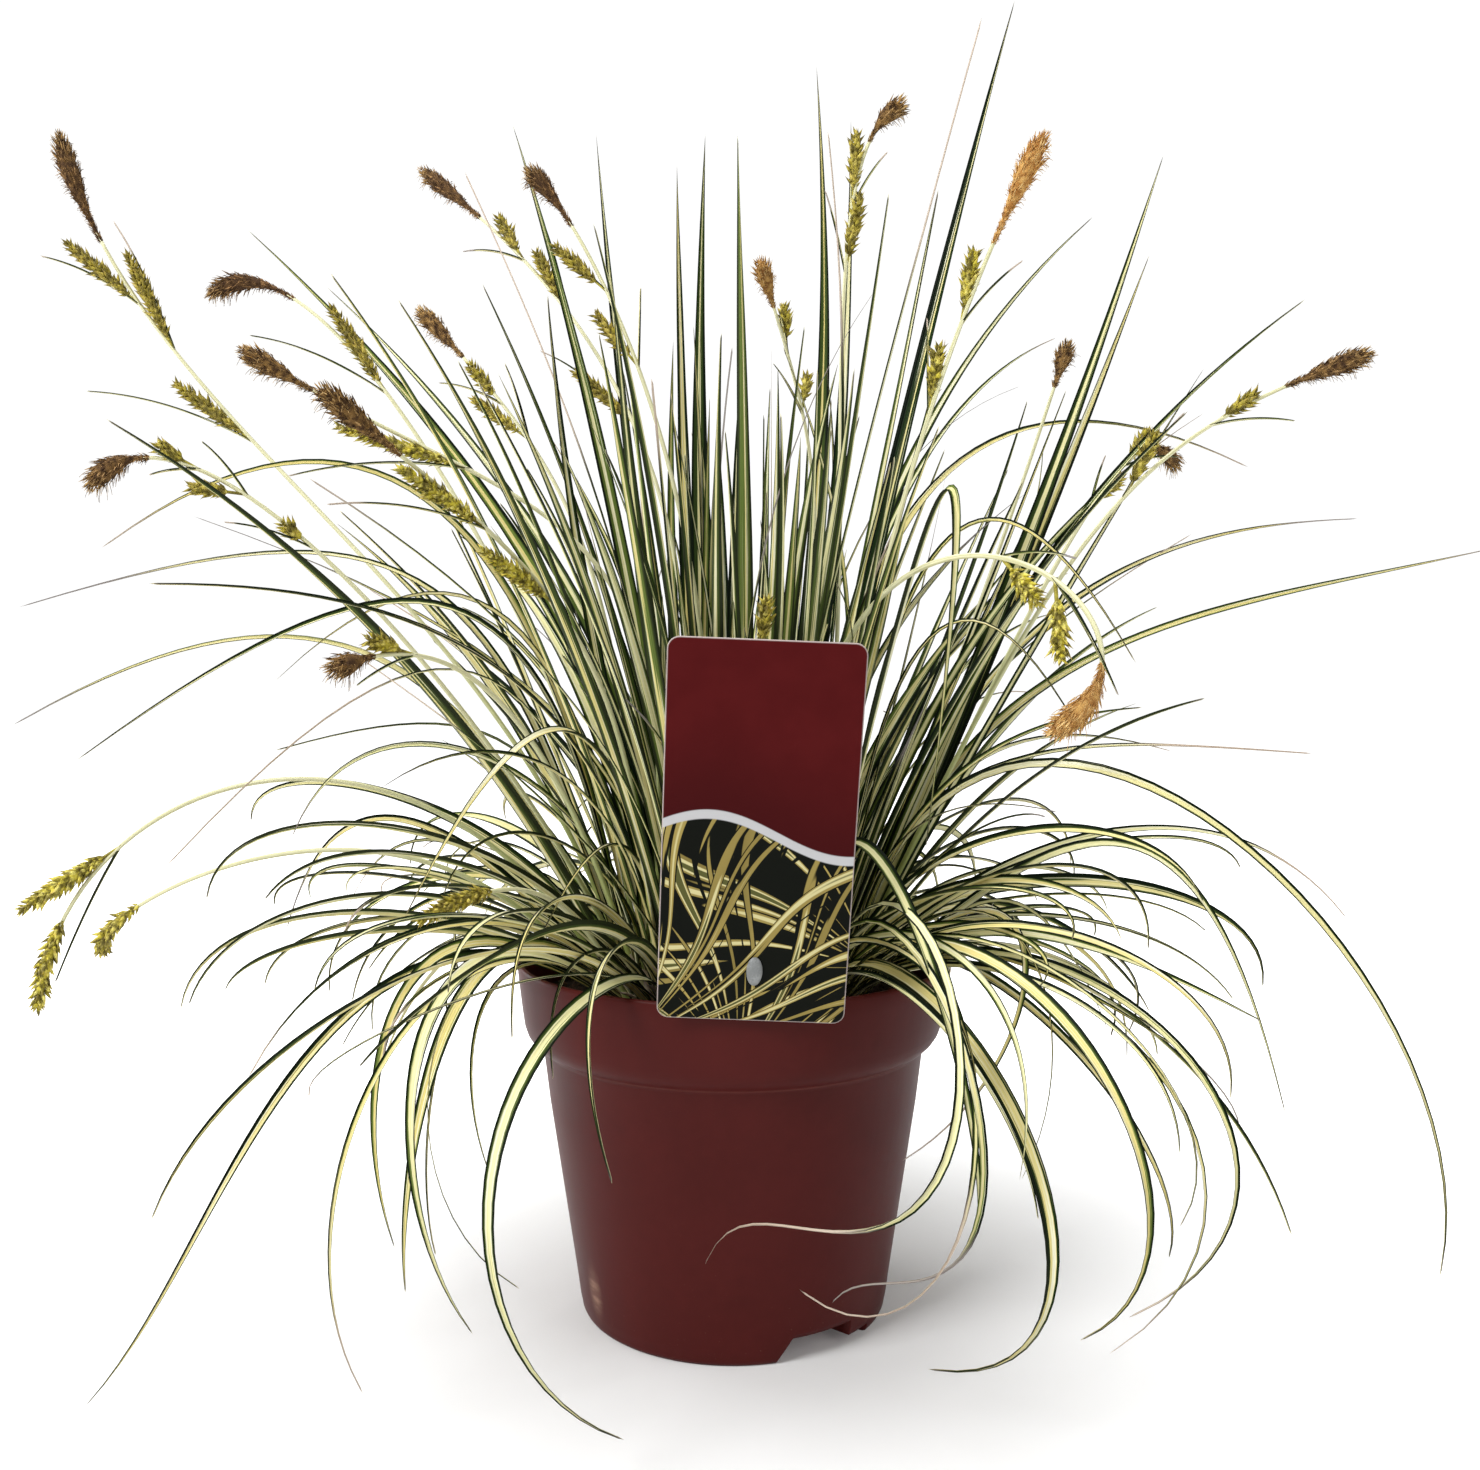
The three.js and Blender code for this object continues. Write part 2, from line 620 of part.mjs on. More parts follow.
// Where an ear leaves its stem, as a share of the stem's curve.
const earFoot = (stem, [distance]) => shareBelowTip(stem, stem.head + GAP + distance);

// The frame along an ear that leaves its stem at a slant.
function earPlace(stem, ear) {
  const [, length, slant] = ear;
  const foot = station(stem, earFoot(stem, ear));
  const turn = radians(slant);
  const along = foot.along.multiplyScalar(Math.cos(turn)).addScaledVector(foot.above, Math.sin(turn));
  const above = along.clone().cross(foot.across);
  return (share) => ({
    at: foot.at.clone().addScaledVector(along, length * share),
    across: foot.across,
    above,
  });
}

// An ear on its short stalk, which starts inside the stem.
function earSolid(stem, ear) {
  const place = earPlace(stem, ear);
  const stalk = EAR.stalk / ear[1];
  const upSpike = (share) => place(stalk + (1 - stalk) * share);
  const twig = skin([
    [place(-0.02).at],
    ringRound(place(0), EAR.stalkRadius, 3, 0),
    ringRound(place(stalk * 1.5), EAR.stalkRadius, 3, 0),
    [place(stalk * 1.6).at],
  ]);
  return spikeSolid(upSpike, earOutline, EAR.sides, whorlsIn(ear[1] - EAR.stalk)).add(twig);
}

// A bare stem. It has a ring at the foot of each ear, so that the ears' stalks start inside it.
function stemSolid(stem) {
  const top = shareBelowTip(stem, stem.male ? stem.head + GAP : stem.head - 1);
  const segments = 4 + Math.round(bendOf(stem) / STEM.bendStep);
  const feet = stem.ears.map((ear) => earFoot(stem, ear)).filter((foot) => foot < top - 0.01);
  const even = Array.from({ length: segments + 1 }, (_, k) => (top * k) / segments);
  const spaced = even.filter((share) => feet.every((foot) => Math.abs(foot - share) > 0.3 / segments));
  const shares = [...new Set([0, ...spaced, ...feet, top])].sort((a, b) => a - b);
  const rings = shares.map((share) =>
    ringRound(station(stem, share), STEM.radius * (1 - STEM.taper * share), STEM.sides, 0),
  );
  const root = polar(stem.root - 1, stem.heading, SOIL.crownFloor + GAP);
  return skin([[root], ...rings, [station(stem, top).at]]);
}

// The frame a share of the way up the spike at a stem's tip.
function headPlace(stem) {
  const from = shareBelowTip(stem, stem.head);
  return (share) => station(stem, from + (1 - from) * share);
}

// A stem with its green ears, and its head too where that is green.
function flowerStem(stem) {
  const pieces = [stemSolid(stem), ...stem.ears.map((ear) => earSolid(stem, ear))];
  if (!stem.male) pieces.push(spikeSolid(headPlace(stem), earOutline, EAR.sides, whorlsIn(stem.head)));
  return join(pieces);
}

const maleSpike = (stem) => spikeSolid(headPlace(stem), maleOutline, MALE.sides, whorlsIn(stem.head));

// ---------------------------------------------------------------- room in the air

// Which owner has claimed each small cell of air. Blades of different tufts never share a cell.
const span = Math.ceil((2 * AIR.reach) / AIR.cell);
const storeys = Math.ceil((AIR.ceiling - AIR.floor) / AIR.cell);
const air = new Uint8Array(span * span * storeys);

function cellAt(x, y, z) {
  const i = Math.floor((x + AIR.reach) / AIR.cell);
  const j = Math.floor((y + AIR.reach) / AIR.cell);
  const k = Math.floor((z - AIR.floor) / AIR.cell);
  return (k * span + j) * span + i;
}

function claim(points, owner) {
  for (const { x, y, z } of points) {
    for (const dx of [-0.5, 0.5]) {
      for (const dy of [-0.5, 0.5]) {
        for (const dz of [-0.5, 0.5]) {
          air[cellAt(x + dx, y + dy, z + dz)] = owner;
        }
      }
    }
  }
}

// The stake's route: back over the rim along its arm, then down its tang.
function stakeAxis(share) {
  const { x, y, z } = STAKE_PLACE;
  const back = Math.min(1, share * 2);
  const down = Math.max(0, share * 2 - 1);
  return {
    at: new THREE.Vector3(x, y + (STAKE.tangY + 1 - y) * back, z - (z - SOIL.top) * down),
    across: new THREE.Vector3(1, 0, 0),
    above: new THREE.Vector3(0, 0, 1),
  };
}

function claimStem(stem) {
  claim(tubePoints((share) => station(stem, share), STEM.radius + 0.4, lengthOf(stem)), STEM_OWNER);
  claim(tubePoints(headPlace(stem), MALE.radius + 0.8, stem.head), STEM_OWNER);
  for (const ear of stem.ears) {
    claim(tubePoints(earPlace(stem, ear), EAR.radius + 0.6, ear[1]), STEM_OWNER);
  }
}

// Points all over a blade, no further apart than a cell.
function bladePoints(blade) {
  const steps = Math.ceil(lengthOf(blade) / 1.5);
  const points = [];
  for (let i = 0; i <= steps; i++) {
    const { at, across } = station(blade, i / steps);
    const half = bladeWidth(blade, i / steps) / 2 + 0.5;
    for (const u of [-1, -0.6, -0.2, 0.2, 0.6, 1]) {
      points.push(at.clone().addScaledVector(across, half * u));
    }
  }
  return points;
}

// Points through a round bar of a given radius and length, no further apart than a cell.
function tubePoints(place, radius, length) {
  const steps = Math.ceil(length / 1.5);
  const points = [];
  for (let i = 0; i <= steps; i++) {
    const frame = place(i / steps);
    points.push(frame.at);
    points.push(...ringRound(frame, radius, 8, 0));
    points.push(...ringRound(frame, radius / 2, 5, 0));
  }
  return points;
}

// Outside the pot a blade hangs clear of the rim, and inside it clear of the soil and the card.
function clearOfPot({ x, y, z }) {
  const radius = Math.hypot(x, y);
  if (radius > POT.rimRadius + CLEAR.rim) return z > CLEAR.ground;
  if (radius > POT.rimRadius - CLEAR.insideRim) return z > POT.height + CLEAR.overRim;
  return radius < SOIL.crownRadius || z > SOIL.top + CLEAR.soil;
}

const CARD_BACK = new THREE.Matrix4().copy(CARD_PLACE).invert();

function clearOfCard(point) {
  const local = point.clone().applyMatrix4(CARD_BACK);
  const beside = Math.abs(local.x) > CARD.width / 2 + CLEAR.cardEdge;
  return beside || local.z > CARD.height + CLEAR.cardEdge || local.y > CLEAR.cardBack;
}

// A new blade may touch its own tuft only among the sheaths, and nothing else anywhere.
function fits(blade, owner) {
  return bladePoints(blade).every((point) => {
    const holder = air[cellAt(point.x, point.y, point.z)];
    const free = holder === 0 || (holder === owner && point.z < ROOT_HEIGHT + SHEATH);
    return free && clearOfPot(point) && clearOfCard(point);
  });
}

// ---------------------------------------------------------------- blades that fill the tufts

const between = (draw, low, high) => low + (high - low) * draw();

// Long blades of a ring tuft that lean out, nearly straight.
function leaningBlade(draw, heading) {
  const start = between(draw, 56, 74);
  const first = between(draw, 100, 165);
  return {
    heading: heading + between(draw, -8.5, 8.5),
    drift: between(draw, -6, 6),
    root: between(draw, 34, 48),
    width: between(draw, 3.5, 6),
    turn: between(draw, -70, 70),
    legs: [[start, first], [start - between(draw, 0, 50), between(draw, 80, 150)]],
  };
}

// Shorter blades that arch low over the rim and hang down outside it.
function archingBlade(draw, heading) {
  const start = between(draw, 46, 74);
  return {
    heading: heading + between(draw, -8.5, 8.5),
    drift: between(draw, -12, 12),
    root: between(draw, 40, 52),
    width: between(draw, 3, 5.5),
    turn: between(draw, -50, 50),
    legs: [
      [start, between(draw, 45, 85)],
      [between(draw, -30, 15), between(draw, 60, 120)],
      [between(draw, -110, -50), between(draw, 20, 70)],
    ],
  };
}

// Upright blades of the heart.
function heartBlade(draw, heading) {
  const start = between(draw, 70, 90);
  return {
    heading: heading + between(draw, -33, 33),
    drift: between(draw, -14, 14),
    root: between(draw, 11, 25),
    width: between(draw, 4, 7.5),
    turn: between(draw, -70, 70),
    legs: [[start, between(draw, 90, 165)], [start + between(draw, -38, 10), between(draw, 60, 140)]],
  };
}

// Draws blades by a rule and keeps those that find room, until the tuft has as many as wanted.
function fill(tuft, rule, wanted) {
  for (let n = 0, kept = 0; n < TRIES * wanted && kept < wanted; n++) {
    const blade = rule(tuft.draw, tuft.heading);
    if (fits(blade, tuft.owner)) {
      claim(bladePoints(blade), tuft.owner);
      tuft.blades.push(blade);
      kept += 1;
    }
  }
}

// ---------------------------------------------------------------- tufts

// The heading of a tuft, and the set blades whose headings lie within its share of the circle.
function tuftsOf(layout, blades, firstOwner) {
  return Array.from({ length: layout.tufts }, (_, i) => {
    const heading = layout.firstHeading + i * layout.step;
    const own = blades.filter((blade) => {
      const away = THREE.MathUtils.euclideanModulo(blade.heading - heading + 180, 360) - 180;
      return Math.abs(away) < layout.step / 2;
    });
    const owner = firstOwner + i;
    return { heading, owner, blades: own, layout, draw: drawFrom(SEED + owner) };
  });
}

// The block of old sheaths that a tuft's blades stand in: a sector of a ring, set back from its neighbours.
function crown({ heading, layout }) {
  const { step, inner, outer, setback } = layout;
  const corner = (radius, side) => {
    const turn = THREE.MathUtils.radToDeg(Math.asin(setback / radius));
    return polar(radius, heading + side * (step / 2 - turn), 0);
  };
  const rounding = step > 45 ? [-step / 4, 0, step / 4] : [0];
  const outline = [
    corner(inner, -1),
    corner(outer, -1),
    ...rounding.map((turn) => polar(outer, heading + turn, 0)),
    corner(outer, 1),
    corner(inner, 1),
  ];
  const middle = polar((inner + outer) / 2, heading, 0);
  const level = (z, share) => outline.map((point) => middle.clone().lerp(point, share).setZ(z));
  return skin([
    [middle.clone().setZ(SOIL.crownFloor + GAP)],
    level(SOIL.crownFloor + GAP, 1),
    level(ROOT_HEIGHT, 1),
    level(ROOT_HEIGHT + 9, 0.62),
    [middle.clone().setZ(ROOT_HEIGHT + 12)],
  ]);
}

function tuftSolid(tuft) {
  return join([crown(tuft), ...tuft.blades.map(bladeSolid)]);
}

// ---------------------------------------------------------------- assembly

// Stems, the stake and the set blades take their room first. Then the tufts fill up, heart before ring.
function growTufts() {
  STEMS.forEach(claimStem);
  claim(tubePoints(stakeAxis, STAKE.armWidth / 2 + 1.5, 70), STEM_OWNER);
  const ringTufts = tuftsOf(RING, RING_BLADES, 1);
  const heartTufts = tuftsOf(HEART, HEART_BLADES, 1 + RING.tufts);
  const tufts = [...ringTufts, ...heartTufts];
  for (const tuft of tufts) {
    tuft.blades.forEach((blade) => claim(bladePoints(blade), tuft.owner));
  }
  for (const tuft of heartTufts) fill(tuft, heartBlade, FILL.heart);
  for (const tuft of ringTufts) {
    fill(tuft, archingBlade, FILL.arching);
    fill(tuft, leaningBlade, FILL.leaning);
  }
  return tufts;
}

const group = new THREE.Group();
const add = (name, solid, material) => group.add(meshOf(name, solid, material));
const number = (i) => String(i + 1).padStart(2, "0");

add("pot", pot(), MATERIALS.pot);
add("potting_soil", soil(), MATERIALS.soil);
add("picture_card", card(), MATERIALS.card);
add("card_stake", stake(), MATERIALS.stake);
STEMS.forEach((stem, i) => {
  add(`flower_stem_${number(i)}`, flowerStem(stem), MATERIALS.stem);
  if (stem.male) add(`male_spike_${number(i)}`, maleSpike(stem), MATERIALS.male);
});
growTufts().forEach((tuft, i) => add(`leaf_tuft_${number(i)}`, tuftSolid(tuft), MATERIALS.leaf));

export default group;
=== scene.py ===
"""A variegated sedge in flower, in a round nursery pot with a picture card at the rim: its finished look.

Lengths in the tables and functions are millimetres in the frame of the part, and piece() turns them to metres.
The origin is the middle of the pot's underside, +Z is up and -Y is the side with the card.
"""
import math

import bpy
import numpy as np
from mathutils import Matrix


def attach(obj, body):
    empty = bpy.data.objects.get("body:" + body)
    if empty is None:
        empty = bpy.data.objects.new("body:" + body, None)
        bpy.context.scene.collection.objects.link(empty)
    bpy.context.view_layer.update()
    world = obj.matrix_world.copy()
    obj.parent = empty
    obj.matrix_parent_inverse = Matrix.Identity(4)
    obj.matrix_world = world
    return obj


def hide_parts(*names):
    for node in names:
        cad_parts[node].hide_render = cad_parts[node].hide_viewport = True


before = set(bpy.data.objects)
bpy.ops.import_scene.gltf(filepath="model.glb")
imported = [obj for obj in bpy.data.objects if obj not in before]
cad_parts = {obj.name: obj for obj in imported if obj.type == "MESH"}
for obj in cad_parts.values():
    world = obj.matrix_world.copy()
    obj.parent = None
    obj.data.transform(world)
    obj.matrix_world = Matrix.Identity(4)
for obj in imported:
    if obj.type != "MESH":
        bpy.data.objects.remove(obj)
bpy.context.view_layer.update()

# ---- sizes shared with the frame

GAP = 0.3
POT = dict(height=138, rim=85, base=60.3, wall=1.7, floor=2.4)
RECESS = dict(headings=(-57, 123), depth=16, width=25, height=9, low_width=12, low_height=3, lean=0.65)
SOIL = dict(top=120, crown_floor=104, crown=54.6)
CARD = dict(width=63, height=130, thickness=0.8, corner=4, foot=(6.1, -87.2, 133.5), lean=12, roll=2.4)
STAKE = dict(up=18.2, across=0.6, width=5.4, height=10.2, dome=1.6, arm=5, thick=1.9, tang_y=-68, tang_foot=94,
             route=70)

ROOT_HEIGHT = 122
RING = dict(tufts=15, first=-74, step=24, inner=31, outer=54.3)
HEART = dict(tufts=4, first=37, step=90, inner=3.5, outer=28.6)
SHEATH = 16
STEM_RADIUS = 1.05
EAR = dict(radius=3.6, stalk=5, stalk_radius=0.6)
MALE_RADIUS = 5

# The tufts grow in a grid of cells, each marked with the number of the tuft that holds it, or as held by a stem.
AIR = dict(cell=2, reach=352, floor=-6, ceiling=556)
STEM_OWNER = 100
SPACING = 1.5
# how far past its own surface each thing holds the air, and how far a new blade keeps off the pot and the card
ROOM = dict(stem=0.4, male=0.8, ear=0.6, stake=1.5)
CLEAR = dict(floor=5, soil=3, rim_outside=2.5, rim_inside=6, rim_above=2, card=3, card_back=4)
# how many blades each tuft gets by each rule, besides those set one by one
FILL = dict(arching=6, leaning=5, heart=11)
TRIES = 60
SEED = 700

# ---- blades and stems set one by one

# heading, drift, root, width, turn, legs as (degrees above level, length), and how dry the tip is from 0 to 1
RING_BLADES = [
    (-56, 0, 46, 5, 15, ((84, 165), (-63, 200), (-113, 40)), 0),
    (-48, -6, 46, 6.5, 20, ((71, 85), (-43, 225), (-165, 130)), 0),
    (-46, -6, 47, 5, 25, ((58, 110), (-41, 180), (-144, 85)), 0),
    (-55, -41, 48, 3, 20, ((66, 190), (-75, 340), (114, 185), (-120, 100)), 0.5),
    (-47, -27, 48, 2.5, 30, ((51, 90), (-87, 31), (-47, 165), (181, 135)), 0.5),
    (-50, -3, 42, 4, 25, ((73, 355), (-98, 275)), 0),
    (-30, 0, 48, 4, 35, ((68, 75), (-42, 145), (-106, 45)), 0),
    (-29, -8, 46, 3.5, 35, ((48, 100), (-33, 175), (-146, 115)), 0.1),
    (-31, -12, 50, 3, 30, ((50, 130), (-82, 100), (-143, 80)), 0.3),
    (-28, 0, 46, 5, 40, ((49, 70), (-19, 55), (-22, 60)), 0),
    (-22, 0, 48, 4, 45, ((44, 115), (32, 50), (-76, 135)), 0),
    (-20, 0, 44, 4, 45, ((78, 205), (-41, 250), (-100, 115)), 0),
    (-28, 0, 42, 3.5, 40, ((84, 280), (-60, 170)), 0),
    (-24, 0, 46, 3.5, 40, ((79, 110), (5, 90)), 0),
    (-7, 0, 46, 7, 40, ((88, 60), (1, 160), (-95, 55)), 0),
    (2, 0, 48, 3.5, 45, ((55, 75), (18, 110), (-52, 85)), 0.3),
    (2, 0, 44, 4, 50, ((74, 155), (0, 95), (13, 130)), 0.1),
    (-2, 0, 40, 7, 55, ((65, 175), (73, 175)), 0),
    (1, 0, 42, 6, 55, ((65, 160), (70, 155)), 0),
    (-6, 0, 42, 4, 50, ((73, 190), (36, 145)), 0),
    (22, 0, 38, 5, 40, ((94, 200), (41, 190)), 0),
    (20, 0, 40, 4, 35, ((92, 295), (-19, 230)), 0.1),
    (24, 0, 44, 3.5, 45, ((67, 165), (28, 85), (4, 150)), 0.2),
    (46, 0, 38, 3.5, 30, ((85, 230), (21, 190)), 0.1),
    (144, 0, 42, 6, -40, ((104, 140), (37, 300)), 0),
    (166, 0, 40, 7, -50, ((100, 140), (42, 265)), 0),
    (188, 0, 40, 3.5, -45, ((73, 175), (58, 40), (-18, 160)), 0.2),
    (190, 0, 44, 3.5, -45, ((68, 135), (48, 75), (-31, 140)), 0.1),
    (192, 0, 40, 4, -45, ((81, 290), (-38, 185)), 0.1),
    (187, 0, 46, 3.5, -45, ((52, 160), (-74, 100)), 0.2),
    (208, 0, 44, 4, -40, ((81, 175), (17, 50), (-37, 145)), 0),
    (216, 0, 44, 3.5, -35, ((92, 85), (27, 120), (-67, 70)), 0.1),
    (214, 3, 46, 5.5, -35, ((50, 110), (-79, 125), (-91, 45)), 0),
    (209, 3, 48, 4.5, -40, ((42, 115), (-75, 90), (-106, 65)), 0),
    (221, 4, 48, 5, -30, ((42, 125), (-77, 115), (-122, 80)), 0),
    (219, 2, 50, 2.5, -35, ((47, 105), (-55, 132), (-116, 85)), 0.2),
    (207, -2, 50, 4, -45, ((42, 75), (-12, 73), (-82, 108), (-44, 62)), 0),
    (242, 12, 47, 5, -20, ((76, 60), (-17, 230), (-146, 190)), 0),
    (236, -6, 44, 5, -25, ((79, 190), (-60, 155)), 0),
    (232, 0, 42, 2.5, -35, ((81, 120), (25, 90), (-3, 100)), 0),
]

HEART_BLADES = [
    (8, 0, 18, 7.5, 50, ((78, 200), (75, 205)), 0),
    (45, 0, 16, 6, 30, ((72, 185), (91, 185)), 0),
    (64, 0, 18, 6.5, 20, ((64, 230), (101, 190)), 0),
    (110, 0, 14, 8, -15, ((75, 165), (97, 190)), 0),
    (130, 0, 18, 6, -30, ((85, 170), (89, 165)), 0),
    (146, 0, 16, 5, -35, ((79, 180), (84, 175)), 0),
    (162, 0, 20, 6.5, -45, ((84, 180), (72, 180)), 0),
    (188, 0, 18, 4.5, -45, ((84, 140), (65, 150)), 0),
    (283, 0, 12, 7, 10, ((83, 150), (97, 185)), 0),
    (-25, 0, 18, 6, 45, ((77, 155), (79, 155)), 0),
    (-50, 0, 16, 4.5, 30, ((75, 150), (79, 150)), 0),
]

# heading, drift, root, legs, length of the spike at the tip, whether it is male, ears as (distance below it,
# length, slant off the stem), and two tones from 0 to 1: golden against brown for the male spike, yellow against
# olive for the ears
STEMS = [
    (178, 1, 40, ((74, 170), (21, 160), (77, 120)), 45, True,
     ((27, 36, -16), (49, 40, 13), (96, 37, -11)), 0.15, 0.35),
    (226, 0, 52, ((62, 62), (18, 25), (-20, 42)), 29, False, (), 0.2, 0.5),
    (154, -2, 34, ((102, 170), (71, 95), (36, 155)), 42, True,
     ((30, 23, 11), (61, 29, 10), (120, 35, -24)), 0.1, 0.35),
    (154, 3, 38, ((85, 175), (66, 30), (45, 115)), 31, True, ((27, 23, -2), (46, 31, -19)), 0.45, 0.5),
    (178, -4, 34, ((83, 95), (64, 250), (-34, 70)), 41, True, ((53, 40, 4),), 0.05, 0.3),
    (226, 3, 40, ((85, 145), (24, 37), (28, 110)), 34, True, ((39, 37, -8), (77, 34, -17)), 0.3, 0.9),
    (202, -2, 40, ((75, 57), (55, 235), (-55, 70)), 23, True,
     ((15, 14, 8), (32, 17, -28), (61, 13, -4)), 0.2, 0.5),
    (202, 6, 46, ((62, 150), (-14, 125), (-83, 80)), 28, False, ((28, 34, 10),), 0.2, 0.95),
    (202, -7, 52, ((58, 135), (-31, 135), (-118, 18)), 27, False, (), 0.2, 0.7),
    (202, -2, 36, ((97, 205), (-20, 70), (30, 120)), 27, True, ((58, 46, -10),), 0.4, 0.9),
    (226, 1, 46, ((70, 140), (16, 45), (-21, 42)), 16, True, ((14, 17, 10),), 0.2, 0.6),
    (-38, 1, 36, ((82, 160), (68, 95), (59, 70)), 38, True, ((27, 24, 13), (59, 23, 12)), 1.0, 0.8),
    (-62, 3, 40, ((91, 250), (-23, 260), (-159, 105)), 33, True, ((29, 22, -56), (52, 20, -31)), 0.85, 1.0),
    (-14, 1, 42, ((65, 205), (57, 32), (18, 90)), 31, True, ((27, 18, 3), (66, 24, 17)), 0.3, 0.5),
    (10, 0, 38, ((66, 140), (72, 140)), 19, True, (), 0.35, 0.4),
    (10, 7, 48, ((65, 240), (38, 30), (-36, 34)), 25, True, ((15, 21, 7), (38, 18, -11)), 0.4, 0.5),
    (274, 8, 36, ((84, 80), (78, 75)), 15, False, (), 0.2, 0.6),
    (-8, 1, 20, ((69, 120), (101, 225), (13, 47)), 20, True, ((23, 26, 6), (48, 28, -7)), 0.45, 0.5),
    (58, 10, 38, ((81, 200), (33, 36), (132, 105)), 21, True, ((19, 19, -31), (45, 18, -46)), 0.75, 0.6),
    (172, 0, 16, ((99, 175), (63, 145), (41, 36)), 29, True, ((28, 27, -24), (60, 26, -19)), 0.1, 0.35),
]


def blade(heading, drift, root, width, turn, legs, dry=0.0):
    return dict(heading=heading, drift=drift, root=root, width=width, turn=turn, legs=legs, dry=dry)


def flower_stem(heading, drift, root, legs, head, male, ears, golden, yellow):
    return dict(heading=heading, drift=drift, root=root, turn=0, legs=legs, head=head, male=male, ears=ears,
                golden=golden, yellow=yellow)


# ---- curves

def number_stream(seed):
    """Repeatable numbers from 0 to 1: each state is the last times 1664525 plus 1013904223, kept to 32 bits."""
    state = seed
    while True:
        state = (state * 1664525 + 1013904223) & 0xFFFFFFFF
        yield state / 4294967296


def between(draw, low, high):
    return low + (high - low) * next(draw)


def smooth_step(low, high, value):
    """0 below the low value, 1 above the high one, and three squares less two cubes of the share between."""
    share = np.clip((value - low) / (high - low), 0, 1)
    return share * share * (3 - 2 * share)


def around(radius, turn, z):
    """Points at a radius and a turn round Z in radians, as an array whose last axis is X, Y, Z."""
    return np.stack(np.broadcast_arrays(radius * np.cos(turn), radius * np.sin(turn), z), -1).astype(float)


def polar(radius, heading, z):
    """The same with a heading in degrees."""
    return around(radius, np.radians(heading), z)


def even_turns(sides):
    return 2 * math.pi * np.arange(sides) / sides


def unit(vectors):
    return vectors / np.linalg.norm(vectors, axis=-1, keepdims=True)


def swung(first, second, turns):
    """Directions between two, row by row: the first times the turn's cosine plus the second times its sine."""
    return first * np.cos(turns)[:, None] + second * np.sin(turns)[:, None]


def walked_along(points):
    """The distance walked along a line up to each of its points."""
    return np.concatenate([[0], np.cumsum(np.linalg.norm(np.diff(points, axis=0), axis=1))])


def beyond(place, start):
    """The same line from a share of it on."""
    return lambda shares: place(start + (1 - start) * np.asarray(shares, float))


def station(plant, shares):
    """Points and directions along, across and above a blade or stem at shares of its curve.

    The corners of the legs lie in a plane of radius and height. Each pass blends neighbouring corners by the
    share, until two are left: the curve passes through their blend and runs along the line that joins them.
    The plane swings by drift times the share squared, and the face is rolled over by turn.
    """
    shares = np.asarray(shares, float)
    corners = [np.array([plant["root"], ROOT_HEIGHT], float)]
    for angle, length in plant["legs"]:
        step = length * np.array([math.cos(math.radians(angle)), math.sin(math.radians(angle))])
        corners.append(corners[-1] + step)
    points = np.array(corners)[:, None, :] * np.ones((1, len(shares), 1))
    while len(points) > 2:
        points = points[:-1] + (points[1:] - points[:-1]) * shares[None, :, None]
    middle = points[0] + (points[1] - points[0]) * shares[:, None]
    slope = (points[1] - points[0]) * len(plant["legs"])
    bearing = plant["heading"] + plant["drift"] * shares ** 2
    swing = middle[:, 0] * np.radians(2 * plant["drift"] * shares)
    sideways = polar(1, bearing + 90, 0)
    along = unit(polar(slope[:, 0], bearing, slope[:, 1]) + sideways * swing[:, None])
    level = unit(sideways - along * (sideways * along).sum(-1, keepdims=True))
    roll = math.radians(plant["turn"])
    across = level * math.cos(roll) + np.cross(along, level) * math.sin(roll)
    return polar(middle[:, 0], bearing, middle[:, 1]), along, across, np.cross(along, across)


def width_at(plant, shares):
    """A blade widens above its sheath and draws out to a long point, as one minus a power of the share."""
    return plant["width"] * np.minimum(1, 0.55 + 1.8 * shares) * (1 - shares ** 2.2)


def length_of(plant, steps=24):
    at = station(plant, np.arange(steps + 1) / steps)[0]
    return float(np.linalg.norm(np.diff(at, axis=0), axis=1).sum())


def share_below_tip(stem, distance, steps=400):
    """The share of a stem's curve that lies a distance below its tip, measured along the curve."""
    walked = walked_along(station(stem, np.arange(steps, -1, -1) / steps)[0])
    return float(1 - np.interp(distance, walked, np.arange(steps + 1)) / steps)


def head_place(stem):
    """The frame at shares of the spike at a stem's tip."""
    return beyond(lambda shares: station(stem, shares), share_below_tip(stem, stem["head"]))


def ear_place(stem, ear):
    """The frame at shares of an ear, which leaves its stem at a slant towards the stem's upper side."""
    at, along, across, above = station(stem, [share_below_tip(stem, stem["head"] + GAP + ear[0])])
    slant = math.radians(ear[2])
    axis = along[0] * math.cos(slant) + above[0] * math.sin(slant)
    upper = np.cross(axis, across[0])

    def place(shares):
        shares = np.asarray(shares, float)
        same = np.ones((len(shares), 1))
        return at[0] + shares[:, None] * axis * ear[1], same * axis, same * across[0], same * upper

    return place


# ---- room in the air

SPAN = math.ceil(2 * AIR["reach"] / AIR["cell"])
STOREYS = math.ceil((AIR["ceiling"] - AIR["floor"]) / AIR["cell"])
air = np.zeros(SPAN * SPAN * STOREYS, np.uint8)
CORNERS = np.array([(x, y, z) for x in (-0.5, 0.5) for y in (-0.5, 0.5) for z in (-0.5, 0.5)])


def cells(points):
    """The number of the grid cell that holds each point, counting along X, then Y, then Z."""
    i, j = (np.floor((points[..., axis] + AIR["reach"]) / AIR["cell"]).astype(int) for axis in (0, 1))
    k = np.floor((points[..., 2] - AIR["floor"]) / AIR["cell"]).astype(int)
    return (k * SPAN + j) * SPAN + i


